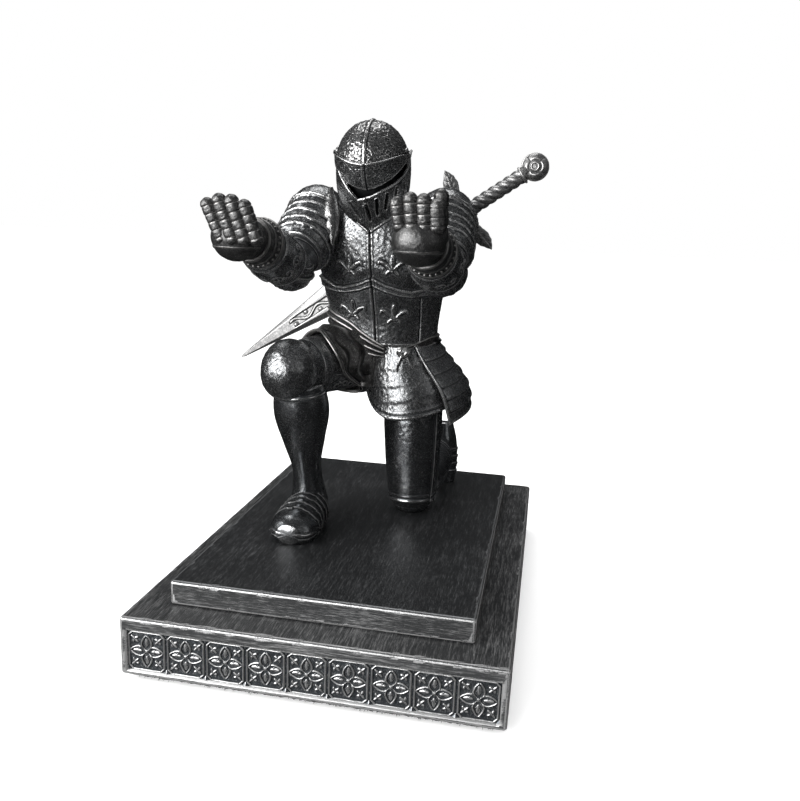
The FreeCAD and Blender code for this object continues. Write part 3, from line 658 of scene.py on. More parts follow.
def limb(start, end, stations, relief=None, rough=0.05, low=0.0, high=1.0, step=0.28, folds=(), sides=150):
    """The face of a limb. Relief takes the way along in millimetres, the angle and the points."""
    length = np.linalg.norm(end - start)
    along = lines(low * length, high * length, step, folds)
    angles = np.arange(sides) * 360 / sides
    grid = tube(start, end, stations, along / length, angles)
    height = hammered(grid, rough)
    if relief:
        height = height + relief(along[:, None], angles[None, :], grid)
    return raised(grid, height, wrap=True)


DOME_END = 87


def dome(centre, half, pole, relief=None, rough=0.06, step=0.3):
    """The face of a rounded cap. Relief takes the latitude and longitude in degrees and the points."""
    size = max(half)
    latitudes = np.linspace(-DOME_END, DOME_END, round(math.radians(2 * DOME_END) * size / step))
    longitudes = np.arange(0, 360, 360 / round(2 * math.pi * size / step))
    grid = egg(centre, np.asarray(half, float), np.asarray(pole, float), latitudes, longitudes)
    height = hammered(grid, rough)
    if relief:
        height = height + relief(latitudes[:, None], longitudes[None, :], grid)
    return raised(grid, height, wrap=True)


def step_up(x, width):
    """0 below zero, 1 from the width on, smooth between."""
    t = np.clip(x / width, 0, 1)
    return t * t * (3 - 2 * t)


def bearing(angles, heading):
    """Angles counted from a heading, from -180 to 180 degrees."""
    return (angles - heading + 180) % 360 - 180


def scroll_pair(u, v, size, height):
    """Two curls back to back, joined by a short stem."""
    one = stroke(u / size - 0.55, v / size, curl(1.1, 0.5, 180), 0.13, height)
    two = stroke(u / size + 0.55, v / size, curl(1.1, 0.5, 0), 0.13, height)
    stem = stroke(u / size, v / size, [(-0.4, -0.5), (0, -0.2), (0.4, -0.5)], 0.12, height)
    return np.max([one, two, stem], axis=0)


# ---------------------------------------------------------------- legs

knee, ankle, shin_top = spot(-19.1, -10.2, 39.3), spot(-15.2, -4.6, 5.6), spot(-17.2, -8.4, 36)
heel, toe = spot(-14.6, -1.6, 3.4), spot(-14.6, -23, 2.6)


FOOT_LAMES = (3.4, 6.0, 8.5, 11.0, 13.5, 16.0)


def sabaton_relief(along, angles, points):
    """Five overlapping foot plates and a toe cap in two halves."""
    upper = np.sin(np.radians(angles)) > -0.35
    ragged = along + 0.25 * lumps(points, 1.6, 15)
    plates = lames(ragged, FOOT_LAMES, 0.5, rim=0.0, rim_width=0.28)
    toe_cap = 0.4 * step_up(ragged - 16.2, 0.4)
    split = points[..., 2] - STAGE - 2.1 - 0.2 * np.sin(points[..., 0] * 1.3)
    lips = 0.16 * bump(split - 0.5, 0.45) - 0.3 * bump(split, 0.3)
    toe_cap = toe_cap + lips * step_up(along - 14.5, 2.0)
    return np.where(upper, plates + toe_cap, toe_cap)


FOOT = [(0, 3.2, 2.8), (0.14, 4.5, 4.4), (0.5, 5.3, 5.2), (0.8, 5.4, 4.0), (0.93, 4.5, 3.2), (1, 2.6, 2.0)]
foot = limb(heel, toe, FOOT, sabaton_relief, folds=FOOT_LAMES, rough=0.04)
armour("right_sabaton_plates", [closed(above_stage(foot))], "right_sabaton", material=SMOOTH)


def greave_relief(along, angles, points):
    seam = 0.12 * bump(bearing(angles, 20) * 0.1, 0.25) * (along > 6)
    return seam + 0.2 * bump(along - 28.6, 0.3)


SHIN = [(0, 4.6, 4.8), (0.28, 3.5, 4.2), (0.52, 5.1, 5.8), (0.76, 6.8, 6.6), (1, 6.2, 5.8)]
shin = limb(ankle, shin_top, SHIN, greave_relief, rough=0.035, low=-0.03)
armour("right_greave_shell", [closed(shin)], "right_greave", material=SMOOTH)


def poleyn_relief(lat, lon, points):
    """A proud dome with a rolled rim, and a second plate under it."""
    front = 0.5 * step_up(lat + 3.0, 1.2) + 0.14 * bump(lat - 0.2, 2.6)
    return front + 0.3 * step_up(lat + 26, 1.5)


knee_pole = vec(0.09, -0.8, 0.59)
cop = dome(knee, (6.1, 6.2, 7.1), knee_pole, poleyn_relief, rough=0.1)
armour("right_poleyn_cop", [closed(cop)], "right_poleyn")

hip = spot(-7.8, 12.6, 40.6)
KNEE_STRAP = (5.4, 8.6)


def cuisse_relief(along, angles, points):
    """A strap behind the knee and scrolls along the inner face."""
    strap = 0.2 * step_up(along - KNEE_STRAP[0], 0.4) * step_up(KNEE_STRAP[1] - along, 0.4)
    strap = strap + 0.08 * (bump(along - 5.9, 0.35) + bump(along - 8.1, 0.35))
    v = np.radians(bearing(angles, 38)) * 7.0
    scrolls = sum(scroll_pair(along - where, v, 2.4, 0.45) for where in (12.2, 17.2))
    border = 0.3 * bump(np.abs(v) - 3.2, 0.22) * (along > 9.4)
    return strap + scrolls + border


thigh = limb(knee, hip, [(0, 6.0, 6.2), (0.5, 7.2, 7.4), (1, 7.6, 8.0)], cuisse_relief, rough=0.04,
             folds=KNEE_STRAP)
armour("right_cuisse_shell", [closed(thigh)], "right_cuisse")

left_knee, left_hip = spot(9.0, 10, 6.4), spot(7.6, 13.2, 37)


def left_poleyn_relief(lat, lon, points):
    return 0.12 * bump(lat + 40, 4)


cop = dome(left_knee, (6.1, 6.3, 8.0), vec(0, 0, 1), left_poleyn_relief, rough=0.05)
armour("left_poleyn_cop", [closed(above_stage(cop))], "left_poleyn", material=SMOOTH)


def left_cuisse_relief(along, angles, points):
    """A rolled lip over the knee and a scalloped seam down the outer side."""
    lip = 0.4 * bump(along + 2.9, 0.5) + 0.14 * bump(along + 1.7, 0.25)
    across = np.radians(bearing(angles, 330)) * 7.6
    scallop = 0.45 * np.abs(np.sin(along * math.pi / 2.6)) ** 0.6
    seam = 0.35 * step_up(across + 0.2, 0.2) * step_up(1.0 + scallop - across, 0.2)
    return lip + seam


LEFT_THIGH = [(-0.13, 5.7, 5.9), (0, 6.5, 6.7), (0.15, 7.0, 7.2), (0.4, 7.5, 7.7), (1, 8.1, 8.3)]
thigh = limb(left_knee, left_hip, LEFT_THIGH, left_cuisse_relief, rough=0.045, low=-0.115, sides=180)
armour("left_cuisse_shell", [closed(above_stage(thigh))], "left_cuisse", material=SMOOTH)

shin = limb(spot(9.7, 13.6, 6.6), spot(12.6, 33.4, 10.6), [(0, 6.2, 5.8), (0.45, 6.4, 5.9), (1, 4.2, 4.2)],
            lambda along, angles, points: 0.3 * bump(along - 17.5, 0.4) + lames(along, (12, 14.2, 16.4), 0.3),
            rough=0.05, folds=(14.2, 16.4))
armour("left_greave_shell", [closed(above_stage(shin))], "left_greave", material=SMOOTH)
LEFT_FOOT = [(0, 4.4, 2.7), (0.35, 4.8, 3.2), (0.75, 4.2, 4.4), (1, 3.0, 3.2)]
LEFT_LAMES = (1.6, 3.8, 6.0, 8.2, 10.4)
foot = limb(spot(13.2, 36.6, 0), spot(13, 38.6, 17.6), LEFT_FOOT,
            lambda along, angles, points: lames(along, LEFT_LAMES, 0.2), rough=0.05, folds=LEFT_LAMES)
armour("left_sabaton_plates", [closed(above_stage(foot))], "left_sabaton", material=SMOOTH)


# ---------------------------------------------------------------- hips: skirt, drape, tassets and belt

BELT = 44.8
SKIRT = [(31, -0.4, 14.4, 15.8, 11.8), (38, -0.2, 13.6, 15.2, 10.8), (BELT, -0.4, 12.6, 13.4, 8.9)]
angles = np.arange(0, 360, 1.2)
grid = ringed(SKIRT, lines(34.0, 45.0, 0.35), angles)
rise = grid[..., 2] - STAGE
pleats = 0.5 * np.sin(np.radians(angles) * 15 + 0.25 * (rise - 38)) * step_up(44.0 - rise, 6)
under_plates = step_up(angles + 4, 6) * step_up(134 - angles, 8) + step_up(angles - 354, 6)
grid = raised(grid, pleats + hammered(grid, 0.04) - 0.5 - 1.8 * under_plates, wrap=True)
armour("tunic_skirt_cloth", [closed(grid)], "tunic_skirt", material=CLOTH, slot="pewter_cloth")

TORSO = [(BELT, -0.6, 12.5, 13.9, 8.7), (51, -0.7, 12.2, 14.3, 8.9), (58, -1.1, 11.8, 15.6, 10.1),
         (66, -1.6, 11.2, 16.4, 10.6), (73, -2.2, 10.6, 14.6, 9.8), (79.5, -2.8, 9.8, 9.8, 7.8)]
mid_thigh, drape_end = spot(-14.4, -0.8, 40), spot(-6.4, 15.2, 40.8)
DRAPE = [(-0.15, 7.6, 8.0), (0, 8.0, 8.4), (0.5, 9.0, 9.4), (1, 9.4, 9.8)]
hem_angles = (-180, -140, -99, -54, -13, 13, 26, 45, 75, 110, 145, 180)
hem_shares = (0.0, 0.02, 0.0, -0.11, -0.064, 0.047, 0.21, 0.5, 0.66, 0.5, 0.14, 0.0)
angles = np.arange(-180, 180, 1.25)
hem = spline(hem_angles, hem_shares, angles)
down = np.concatenate([np.linspace(0, 0.12, 14), np.linspace(0.14, 1, 66)])
share = hem + (1.02 - hem) * down[:, None]
drape = tube(mid_thigh, drape_end, DRAPE, share, angles)
turn = np.radians(angles)[None, :]
wander = 0.05 * np.sin(3 * turn) + 0.03 * np.sin(7 * turn + 1)
fold = np.abs(np.cos(math.pi * (down[:, None] + wander - 0.28) * 3.9)) ** 1.5
fold = (0.95 * fold - 0.35) * step_up(down[:, None] - 0.05, 0.08)
roll = 0.3 * bump(down[:, None] - 0.025, 0.03)
drape = raised(drape, fold + roll + hammered(drape, 0.05), wrap=True)


def torso_at(angles, heights, off=0.0):
    """The torso's outer face at given angles and heights, offset outwards."""
    grid = ringed(TORSO, heights, angles)
    return raised(grid, np.full(grid.shape[:2], off))


apron_angles = np.linspace(-78, 8, 150)
apron_x = -0.8 + 14.2 * np.sin(np.radians(apron_angles))
apron_top = spline((-15.0, -12.5, -8.1, -4.7, -1.3, 1.4), (53.4, 52.1, 50.2, 47.9, 45.9, 44.6), apron_x)
apron_rows = np.linspace(0, 1, 46)[:, None]
apron = torso_at(apron_angles, 42.4 + (apron_top - 42.4) * apron_rows, 0.35)
spread = apron_rows * 2.6 + 0.03 * apron_angles[None, :] * (1 - apron_rows)
creases = np.abs(np.cos(math.pi * spread)) ** 1.4
apron = raised(apron, 0.7 * creases * step_up(0.95 - apron_rows, 0.1) + hammered(apron, 0.05))
hem_cord = cord(apron[-1, ::3], 0.26, sides=8)
armour("tunic_drape_cloth", [plate(drape, 0.8, wrap=True), plate(apron, 0.7), hem_cord], "tunic_drape",
       material=CLOTH, slot="pewter_cloth")

FRONT_FOLDS = (0.3, 0.53, 0.75)
FRONT_TASSET = [(26.9, 7.2, 12.6, 11.6, 12.2), (36, 6.5, 12.8, 11.6, 11.4), (42.4, 5.6, 12.7, 9.8, 9.7)]
SIDE_TASSET = [(24.4, 7.6, 13.8, 15.2, 13.4), (35, 7.2, 13.8, 14.6, 12.8), (42.4, 6.4, 13.2, 9.6, 10.4)]
angles = np.linspace(-80, 76, 190)
lower = spline((-80, -70, -51, -25, 0, 22, 55, 76), (36.4, 34.6, 29.6, 26.7, 26.6, 27.4, 28.8, 29.6), angles)
down = lines(0, 1, 0.018, folds=FRONT_FOLDS)[:, None]
grid = ringed(FRONT_TASSET, BELT + (lower - BELT) * down, angles)
slant = down + 0.0016 * angles
height = 0.55 * lames(slant, (0.08, *FRONT_FOLDS, 1.2), 0.24, rim=0.0) + 0.34 * bump(down - 0.97, 0.03)
ripple = 0.3 * np.cos(4.2 * down + 0.06 * angles) * step_up(0.75 - down, 0.5)
height = height + 0.14 * bump(down - 0.9, 0.02) + ripple
stipple = 0.1 * lumps(grid, 0.5, 8) * step_up(-angles - 4, 10)
grid = raised(grid, height + stipple + hammered(grid, 0.05))
armour("left_front_tasset_plates", [plate(grid, 0.9)], "left_front_tasset")

SIDE_FOLDS = (0.2, 0.37, 0.53, 0.69, 0.85)
SIDE_END = 148
down = lines(0, 1, 0.018, folds=SIDE_FOLDS)[:, None]
heights = 45.2 - down * 19.8
ahead = spline((25.4, 32.1, 39.3, 43.6), (47, 38, 29, 23), heights)
sweep = np.linspace(0, 1, 210)[None, :]
grid = ringed(SIDE_TASSET, heights + 6.5 * sweep ** 0.8 * down ** 0.5, ahead + (SIDE_END - ahead) * sweep)
edge_gap = sweep * (SIDE_END - ahead) * 0.24
height = lames(down, (0.03, *SIDE_FOLDS, 1.0), 0.45, rim=0.1, rim_width=0.016)
height = height * step_up(edge_gap - 0.7, 0.3) + 0.55 * bump(edge_gap - 0.45, 0.45)
grid = raised(grid, height + hammered(grid, 0.05))
armour("left_side_tasset_plates", [plate(grid, 0.9)], "left_side_tasset")

angles = np.linspace(20, 290, 330)
heights = np.linspace(42.5, 44.9, 16)[:, None] + 2.6 * step_up(angles - 24, 46) * step_up(292 - angles, 120)
WAIST = [(40, -0.6, 12.5, 14.2, 9.1), (BELT, -0.6, 12.5, 14.2, 9.1), (51, -0.7, 12.2, 14.9, 9.5)]
grid = ringed(WAIST, heights, angles)
strip = np.linspace(-1, 1, 16)[:, None]
grid = raised(grid, 0.15 + 0.14 * bump(np.abs(strip) - 0.8, 0.2) + hammered(grid, 0.05))
armour("belt_strap", [plate(grid, 0.8)], "belt", material=CLOTH)

knot = spot(6.6, 2.15, 43.9)
wraps = []
for lean, size in ((-0.5, 1.0), (0.25, 1.05), (0.9, 0.85)):
    t = circle(44)
    ring = np.stack([1.3 * size * np.cos(t) * math.cos(lean) - 0.7 * np.sin(t) * math.sin(lean),
                     -0.35 + 0.75 * np.sin(t) * np.cos(t + lean), 1.3 * size * np.cos(t) * math.sin(lean)
                     + 0.9 * np.sin(t) * math.cos(lean)], -1)
    wraps.append(cord(knot + ring, 0.5, loop=True))
tails = []
for offsets, thick in ((((-0.4, -0.3, -0.9), (-1.2, -0.6, -3.0), (-1.5, -0.5, -5.2)), (0.62, 0.28)),
                       (((0.8, -0.3, -0.8), (1.5, -0.5, -2.4), (2.6, -0.4, -4.2)), (0.6, 0.26))):
    path = smooth_path([knot + vec(*offset) for offset in offsets], 22)
    tails.append(cord(path, np.linspace(*thick, 22), flat=0.55))
core = closed(dome(knot, (1.5, 0.9, 1.2), vec(0, 0, 1), rough=0.03, step=0.25))
armour("belt_knot_cords", [core] + wraps + tails, "belt_knot")


# ---------------------------------------------------------------- torso

FLEURS = ((-7.7, 64.5), (3.0, 65.0), (-7.15, 53.4), (3.5, 52.9))
WING_X = (-16, -14, -11.5, -9.2, -5, -1.9, 1.3, 5, 7.8, 11, 14)
WING_TOP = (61.6, 60.7, 59.6, 59.6, 60.7, 62.1, 60.6, 59.5, 59.1, 59.9, 61)
WING_FOOT = (58.6, 58.0, 57.6, 57.6, 58.4, 59.7, 58.3, 57.4, 57.1, 57.7, 58.6)


SHELL_FOOT, NECK_LOW, NECK_X = 44.4, 73.1, -2.8


def breast_relief(points):
    """The winged band across the chest, the seams, the four lilies and the rolled rims."""
    x, z = points[..., 0], points[..., 2] - STAGE
    top, foot = np.interp(x, WING_X, WING_TOP), np.interp(x, WING_X, WING_FOOT)
    wing = 0.5 * step_up(z - foot, 0.5) * step_up(top - z, 0.16)
    wing = wing + 0.3 * bump(z - top + 0.38, 0.36) + 0.14 * bump(z - foot - 0.4, 0.3)
    chest = 0.3 * step_up(z - top - 0.3, 2.5)
    seam_x = np.interp(z, (44.9, 56.4, 62.35, 72.7), (-1.05, -1.7, -2.17, -2.74))
    gap = x - seam_x
    seam = 0.1 * bump(np.abs(gap) - 0.5, 0.3) - 0.75 * bump(gap, 0.26)
    lilies = sum(0.62 * lily((x - cx) * 0.85, z - cz, 3.2) for cx, cz in FLEURS)
    side_gap = x - np.interp(z, (48.1, 56.3), (9.6, 9.8))
    side = -0.5 * bump(side_gap, 0.22) * (z < 57.3)
    waist = 0.22 * bump(z - 45.2, 0.4)
    rim = 0.3 * bump(z - np.minimum(80.2, NECK_LOW + 0.75 * np.abs(x - NECK_X)) + 0.4, 0.35)
    return wing + chest + seam + lilies + side + waist + rim


angles = np.linspace(-91, 91, 300)
neck_x = -2.3 + 11.5 * np.sin(np.radians(angles))
neck = np.minimum(80.4, NECK_LOW + 0.75 * np.abs(neck_x - NECK_X))
heights = SHELL_FOOT + (neck - SHELL_FOOT) * np.linspace(0, 1, 190)[:, None]
front = ringed(TORSO, heights, angles)
rough = hammered(front, 0.1, 0.75) * (0.5 + 0.5 * step_up(front[..., 2] - STAGE - 62, 3))
front = raised(front, breast_relief(front) + rough)
armour("breastplate_shell", [plate(front, 1.2)], "breastplate")
strap = limb(spot(-13.7, 4.2, 83.2), spot(-11.7, -0.9, 69.4),
             [(0, 0.5, 0.4), (0.25, 1.6, 0.8), (0.55, 2.0, 0.95), (0.85, 1.3, 0.8), (1, 0.35, 0.4)],
             lambda along, angles, points: -0.25 * bump(np.abs(bearing(angles, 0)) - 10, 8) * (along > 2),
             rough=0.05, step=0.2, sides=72)
armour("shoulder_strap", [closed(strap)], "breastplate", material=HAMMERED)

SPINE_X = -1.6
angles = np.linspace(89.5, 270.5, 200)
heights = np.linspace(SHELL_FOOT, 79.9, 120)[:, None]
rear = ringed(TORSO, heights, angles)
z, off_spine = rear[..., 2] - STAGE, np.abs(rear[..., 0] - SPINE_X)
spine = 0.55 * bump(off_spine, 0.7) - 0.25 * bump(off_spine - 1.1, 0.4)
blades = 0.5 * bump(np.hypot((off_spine - 7.2) / 1.1, z - 68.5) - 5.2, 0.5)
waist = lames(57 - z, (0.5, 4.2, 8.0, 12.2), 0.4) * step_up(60 - np.abs(angles - 180), 20)
rear = raised(rear, spine + blades + waist + 0.3 * bump(z - 79.3, 0.5) + hammered(rear, 0.07))
armour("backplate_shell", [plate(rear, 1.2)], "backplate", material=SMOOTH)


LINK = 0.55


def links(points):
    """Rows of small interlocked rings."""
    z = points[..., 2] / LINK
    around = np.arctan2(points[..., 1] - 8, points[..., 0] + 3) * 9 / LINK + 0.5 * (np.floor(z) % 2)
    return 0.22 * bump(np.hypot((around % 1) - 0.5, (z % 1) - 0.5) - 0.32, 0.2)


grid = ringed(TORSO, lines(44.5, 79.2, 0.3), np.arange(0, 360, 2.4))
grid = raised(grid, links(grid) - 1.5, wrap=True)
armour("mail_shirt", [closed(grid)], "torso_core", material=MAIL, slot="pewter_paint")
collar = limb(spot(-2.9, 8.4, 72.6), spot(-3.4, 6.2, 82.6), [(0, 7.6, 7.2), (0.55, 6.6, 6.4), (1, 6.2, 6.2)],
              lambda along, angles, points: links(points) - 0.1, rough=0.0, step=0.2, sides=210)
armour("gorget_mail", [closed(collar)], "gorget", material=MAIL, slot="mail_dark")


# ---------------------------------------------------------------- helmet

CROWN = spot(-3.3, 4, 89.6)
PIVOT = spot(-3.3, 3.2, 91.4)
SKULL = vec(8.7, 9.8, 9.5)


def crosswise(centre, half, latitudes, elevations):
    """A face turned about the left-right axis. Elevation 0 is straight ahead and 90 straight up."""
    lat, up = np.radians(latitudes), np.radians(elevations)
    lat, up = (a if np.ndim(a) == 2 else a[:, None] if kind == 0 else a[None, :]
               for kind, a in enumerate((lat, up)))
    ball = np.stack(np.broadcast_arrays(np.sin(lat), -np.cos(lat) * np.cos(up), np.cos(lat) * np.sin(up)), -1)
    return centre + half * ball


latitudes = np.linspace(-86, 86, 190)
elevations = np.linspace(-18, 206, 260)
grid = crosswise(CROWN, SKULL, latitudes, elevations)
comb = 0.28 * bump(grid[..., 0] - CROWN[0], 0.5)
rear_band = lames(elevations * 0.16, (27.2, 29.2, 31.2, 33.3), 0.35)
grid = raised(grid, comb + rear_band + hammered(grid, 0.15, 0.7))
armour("helmet_skull_shell", [plate(grid, 0.8)], "helmet_skull", material=HAMMERED)

VISOR_SPAN, VISOR_TALL = 78, 7.6
latitudes = np.linspace(-VISOR_SPAN, VISOR_SPAN, 190)
aside = np.abs(latitudes) / VISOR_SPAN
lowest, highest = -53.2 + 12 * aside ** 1.2, -16.5 + 15 * aside ** 1.6
share = np.linspace(0, 1, 60)[None, :]
elevations = lowest[:, None] + (highest - lowest)[:, None] * share
grid = crosswise(PIVOT, vec(9.0, 11.0, 11.0), latitudes, elevations)
top_gap, low_gap = (1 - share) * VISOR_TALL, share * VISOR_TALL
off_keel = grid[..., 0] - PIVOT[0]
keel = 0.2 * bump(off_keel, 0.4) - 0.12 * bump(off_keel - 0.55, 0.25)
rims = 0.3 * bump(top_gap - 0.3, 0.32) + 0.14 * bump(low_gap - 0.3, 0.3)
pores = 0.16 * np.minimum(lumps(grid, 0.45, 11), 0.1)
grid = raised(grid, keel + rims + pores * (top_gap > 0.8) * (low_gap > 0.8) + hammered(grid, 0.05))
armour("visor_plate", [plate(grid, 0.6)], "helmet_visor", body="visor")

BEVOR = [(77.4, -3.3, 6.2, 7.2, 7.6), (81, -3.3, 5.6, 8.4, 9.6), (86, -3.3, 5.2, 9.05, 10.4),
         (93, -3.3, 5.0, 8.8, 10.4)]
BEVOR_FOOT, BEVOR_REACH = 73.4, 9.4
SLOTS = ((-22, 1.1, 4.4), (4, 0.4, 3.7), (21, 0.1, 3.5), (37, -0.1, 3.5), (53, -0.2, 3.5), (69, 0.0, 3.5))
RIM_TIP = -11.5
angles = np.linspace(-108, 108, 330)
right_rim = spline((-108, -80, -60, -50, -43, -33, -23, RIM_TIP),
                   (93, 92.6, 90.2, 88.2, 86.3, 84.3, 82.4, 80.5), angles)
left_rim = spline((RIM_TIP, 13, 27, 42, 55, 75, 90, 108),
                  (80.5, 81.6, 82.8, 84.1, 85.5, 88.4, 92.2, 93), angles)
rim_height = np.where(angles < RIM_TIP, right_rim, left_rim)
share = np.linspace(0, 1, 120)[:, None]
heights = BEVOR_FOOT + (rim_height - BEVOR_FOOT) * share
grid = ringed(BEVOR, heights, angles)
rim_gap = rim_height - heights
height = 0.45 * bump(rim_gap - 0.4, 0.42) + 0.2 * bump(grid[..., 0] - CROWN[0], 0.4)
clear = step_up(rim_gap - 1.0, 0.3)
for heading, slant, drop in SLOTS:
    u = np.radians(angles - heading) * BEVOR_REACH
    v = heights - np.interp(heading, angles, rim_height) + drop
    ends = [(-slant, 1.5), (0, 0), (slant, -1.5)]
    lip, slit = (stroke(u, v, ends, width, deep, tip=0.8) for width, deep in ((0.95, 0.24), (0.6, 1.4)))
    height = height + (lip - slit) * clear
grid = raised(grid, height + hammered(grid, 0.07))
armour("helmet_bevor_plate", [plate(grid, 0.6)], "helmet_bevor")

face = dome(CROWN, (6.6, 7.4, 7.7), vec(0, 0, 1), rough=0.03, step=0.4)
jaw = ringed(BEVOR, np.linspace(76.5, 90, 60), np.arange(0, 360, 3))
jaw = raised(jaw, np.full(jaw.shape[:2], -1.7), wrap=True)
armour("padded_lining", [closed(face), closed(jaw)], "inner_head", material=MAIL, slot="mail_dark")


def boss_relief(lat, lon, points):
    return 0.12 * np.cos(np.radians(lon) * 6) * (lat > 10) * (lat < 70)


bosses = []
t = circle(60)
ring = 1.3 * np.stack([0 * t, np.cos(t), np.sin(t)], -1)
for side in (-1, 1):
    centre = PIVOT + vec(side * 8.4, 0, 0)
    cap = dome(centre, (0.5, 1.2, 1.2), vec(side, 0, 0), boss_relief, rough=0.02, step=0.12)
    bosses += [closed(cap), cord(centre + ring, 0.24, loop=True)]
armour("visor_bosses", bosses, "visor_pivots")


# ---------------------------------------------------------------- arms

def pauldron(side, shoulder, elbow, half, sign):
    """A hammered shoulder cap over five plates that ring the upper arm."""
    axis = unit(elbow - shoulder)
    edges = (1.6, 4.5, 7.4, 10.1, 12.7, 15.0)
    cap_pole = unit(-axis + vec(sign * 0.35, 0, 0.5))

    def cap_relief(lat, lon, points):
        along = (points - shoulder) @ axis
        rim = 0.5 * bump(along - 1.0 - 0.25 * lumps(points, 2.2, 14), 0.6)
        return 0.5 + rim - 1.4 * step_up(along - 1.4, 0.5)

    cap = dome(shoulder, half, cap_pole, cap_relief, rough=0.12, step=0.26)

    def sleeve_relief(along, angles, points):
        ragged = along + 0.3 * lumps(points, 1.5, 15) + 0.12 * lumps(points, 0.6, 16)
        back = [-edge for edge in reversed(edges)]
        return lames(-ragged, back, 1.1, rim=0.3, rim_width=0.3)

    reach = np.linalg.norm(elbow - shoulder)
    sleeve = limb(shoulder, elbow, [(0.0, half[0] - 0.9, half[2] - 1.0), (0.25, half[0] - 0.7, half[2] - 0.9),
                                    (0.5, 6.5, 6.3), (0.75, 6.1, 5.9)], sleeve_relief, rough=0.09,
                  low=0.02, high=15.2 / reach, step=0.16, sides=200)
    armour(f"{side}_pauldron_plates", [closed(cap), closed(sleeve)], f"{side}_pauldron")


def upper_arm(side, shoulder, elbow, stations):
    def relief(along, angles, points):
        return 0.3 * bump(along - 15.6, 0.35) + 0.25 * bump(along - 16.8, 0.25)

    grid = limb(shoulder, elbow, stations, relief, rough=0.03)
    armour(f"{side}_rerebrace_shell", [closed(grid)], f"{side}_rerebrace", material=SMOOTH)


def couter(side, elbow, sign):
    """A shell-shaped elbow plate with a rolled edge and fluted rays."""
    def relief(lat, lon, points):
        rays = 0.16 * np.abs(np.sin(np.radians(lon) * 7)) * step_up(lat - 12, 10) * step_up(74 - lat, 12)
        rim = 0.4 * step_up(lat + 4, 1.5) + 0.35 * bump(lat + 0.5, 3.6)
        under = 0.25 * step_up(lat + 30, 1.5) + 0.2 * bump(lat + 27, 3.2)
        return rim + under + rays + 0.25 * bump(90 - lat, 9)

    grid = dome(elbow, (5.35, 5.35, 5.15), vec(sign * 0.45, 0.2, -0.87), relief, rough=0.07)
    armour(f"{side}_couter_cop", [closed(grid)], f"{side}_couter")


def forearm(side, elbow, wrist, stations):
    """A swelling forearm plate with curled reliefs and two rings behind the cuff."""
    length = np.linalg.norm(wrist - elbow)

    def relief(along, angles, points):
        rings = 0.35 * bump(along - 0.70 * length, 0.5) + 0.2 * bump(along - 0.77 * length, 0.3)
        height = rings + 0.3 * bump(along - 0.2 * length, 0.35)
        for heading in range(0, 360, 60):
            v = np.radians(bearing(angles, heading)) * 6.2
            height = height + scroll_pair(v, along - 0.47 * length, 2.8, 0.34)
        return height

    grid = limb(elbow, wrist, stations, relief, rough=0.05, sides=220, step=0.2)
    armour(f"{side}_vambrace_shell", [closed(grid)], f"{side}_vambrace")


CUFF_BEADS = 26


def gauntlet(side, wrist, palm, half, sign):
    """A domed hand plate on a flared cuff with rolled, beaded and plain rings."""
    along = unit(palm - wrist)
    start, end = wrist - 4 * along, wrist + 1.4 * along

    def cuff_relief(way, angles, points):
        edge = 0.3 * bump(way - 0.45, 0.45) + 0.16 * bump(way - 2.6, 0.35)
        return edge + 0.3 * bump(way - 5.0, 0.4)

    cuff = limb(start, end, [(0, 5.5, 5.5), (0.5, 4.9, 4.9), (1, 4.5, 4.5)], cuff_relief, rough=0.04,
                step=0.16)
    first = unit(np.cross(along, vec(0, 0, 1)))
    second = np.cross(along, first)
    beads = []
    for number in range(CUFF_BEADS):
        turn = 2 * math.pi * number / CUFF_BEADS
        out = first * math.cos(turn) + second * math.sin(turn)
        beads.append(bead(wrist - 2.5 * along + out * 5.25, 0.32, sides=10))

    def hand_relief(lat, lon, points):
        return 0.12 * bump(points[..., 2] - palm[2] + 2.3, 0.3)

    body = palm + (vec(-0.6, 0.3, -0.2) if sign < 0 else vec(0, -0.9, -0.2))
    hand_half = (half[0] - 0.1, half[1] - 0.9, half[2] + 1.9)
    hand = dome(body, hand_half, vec(0, 0, 1), hand_relief, rough=0.06, step=0.2)
    heel = dome(wrist + 2.2 * along, (4.3, 4.6, 4.3), along, rough=0.05)
    armour(f"{side}_gauntlet_plates", [closed(cuff), closed(hand), closed(heel)] + beads, f"{side}_gauntlet",
           material=GLOVE)


def finger(root, tip, radius, plates, girth=1.0, carve=0.2):
    """A finger of rounded, overlapping plates, square in section."""
    length = np.linalg.norm(tip - root)
    axis = unit(tip - root)
    side = unit(np.cross(axis, vec(0, 1, 0)))
    front = np.cross(side, axis)
    way = np.linspace(-radius, length + radius, 24 * plates)
    turn = np.radians(np.arange(0, 360, 7.5))
    share = (way + radius) / (length + 2 * radius + 1e-9) * plates
    part = share % 1.0
    swell = 1.0 - carve * (1 - np.sqrt(np.clip(1 - np.abs(2 * part - 1) ** 4, 0, 1)))
    close = np.sqrt(np.clip(1 - np.clip((way - length + 0.1) / (radius + 0.1), 0, 1) ** 2, 0.02, 1))
    close *= np.sqrt(np.clip(1 - np.clip((-0.2 - way) / (radius - 0.2), 0, 1) ** 2, 0.02, 1))
    reach = (radius * girth * swell * close)[:, None]
    square = (np.abs(np.cos(turn)) ** 2.3 + np.abs(np.sin(turn)) ** 2.3) ** (-1 / 2.3)
    grid = (root + axis * way[:, None, None] + side * (reach * square * np.cos(turn))[..., None]
            + front * (reach * square * np.sin(turn))[..., None])
    return closed(raised(grid, hammered(grid, 0.06, 0.6), wrap=True))


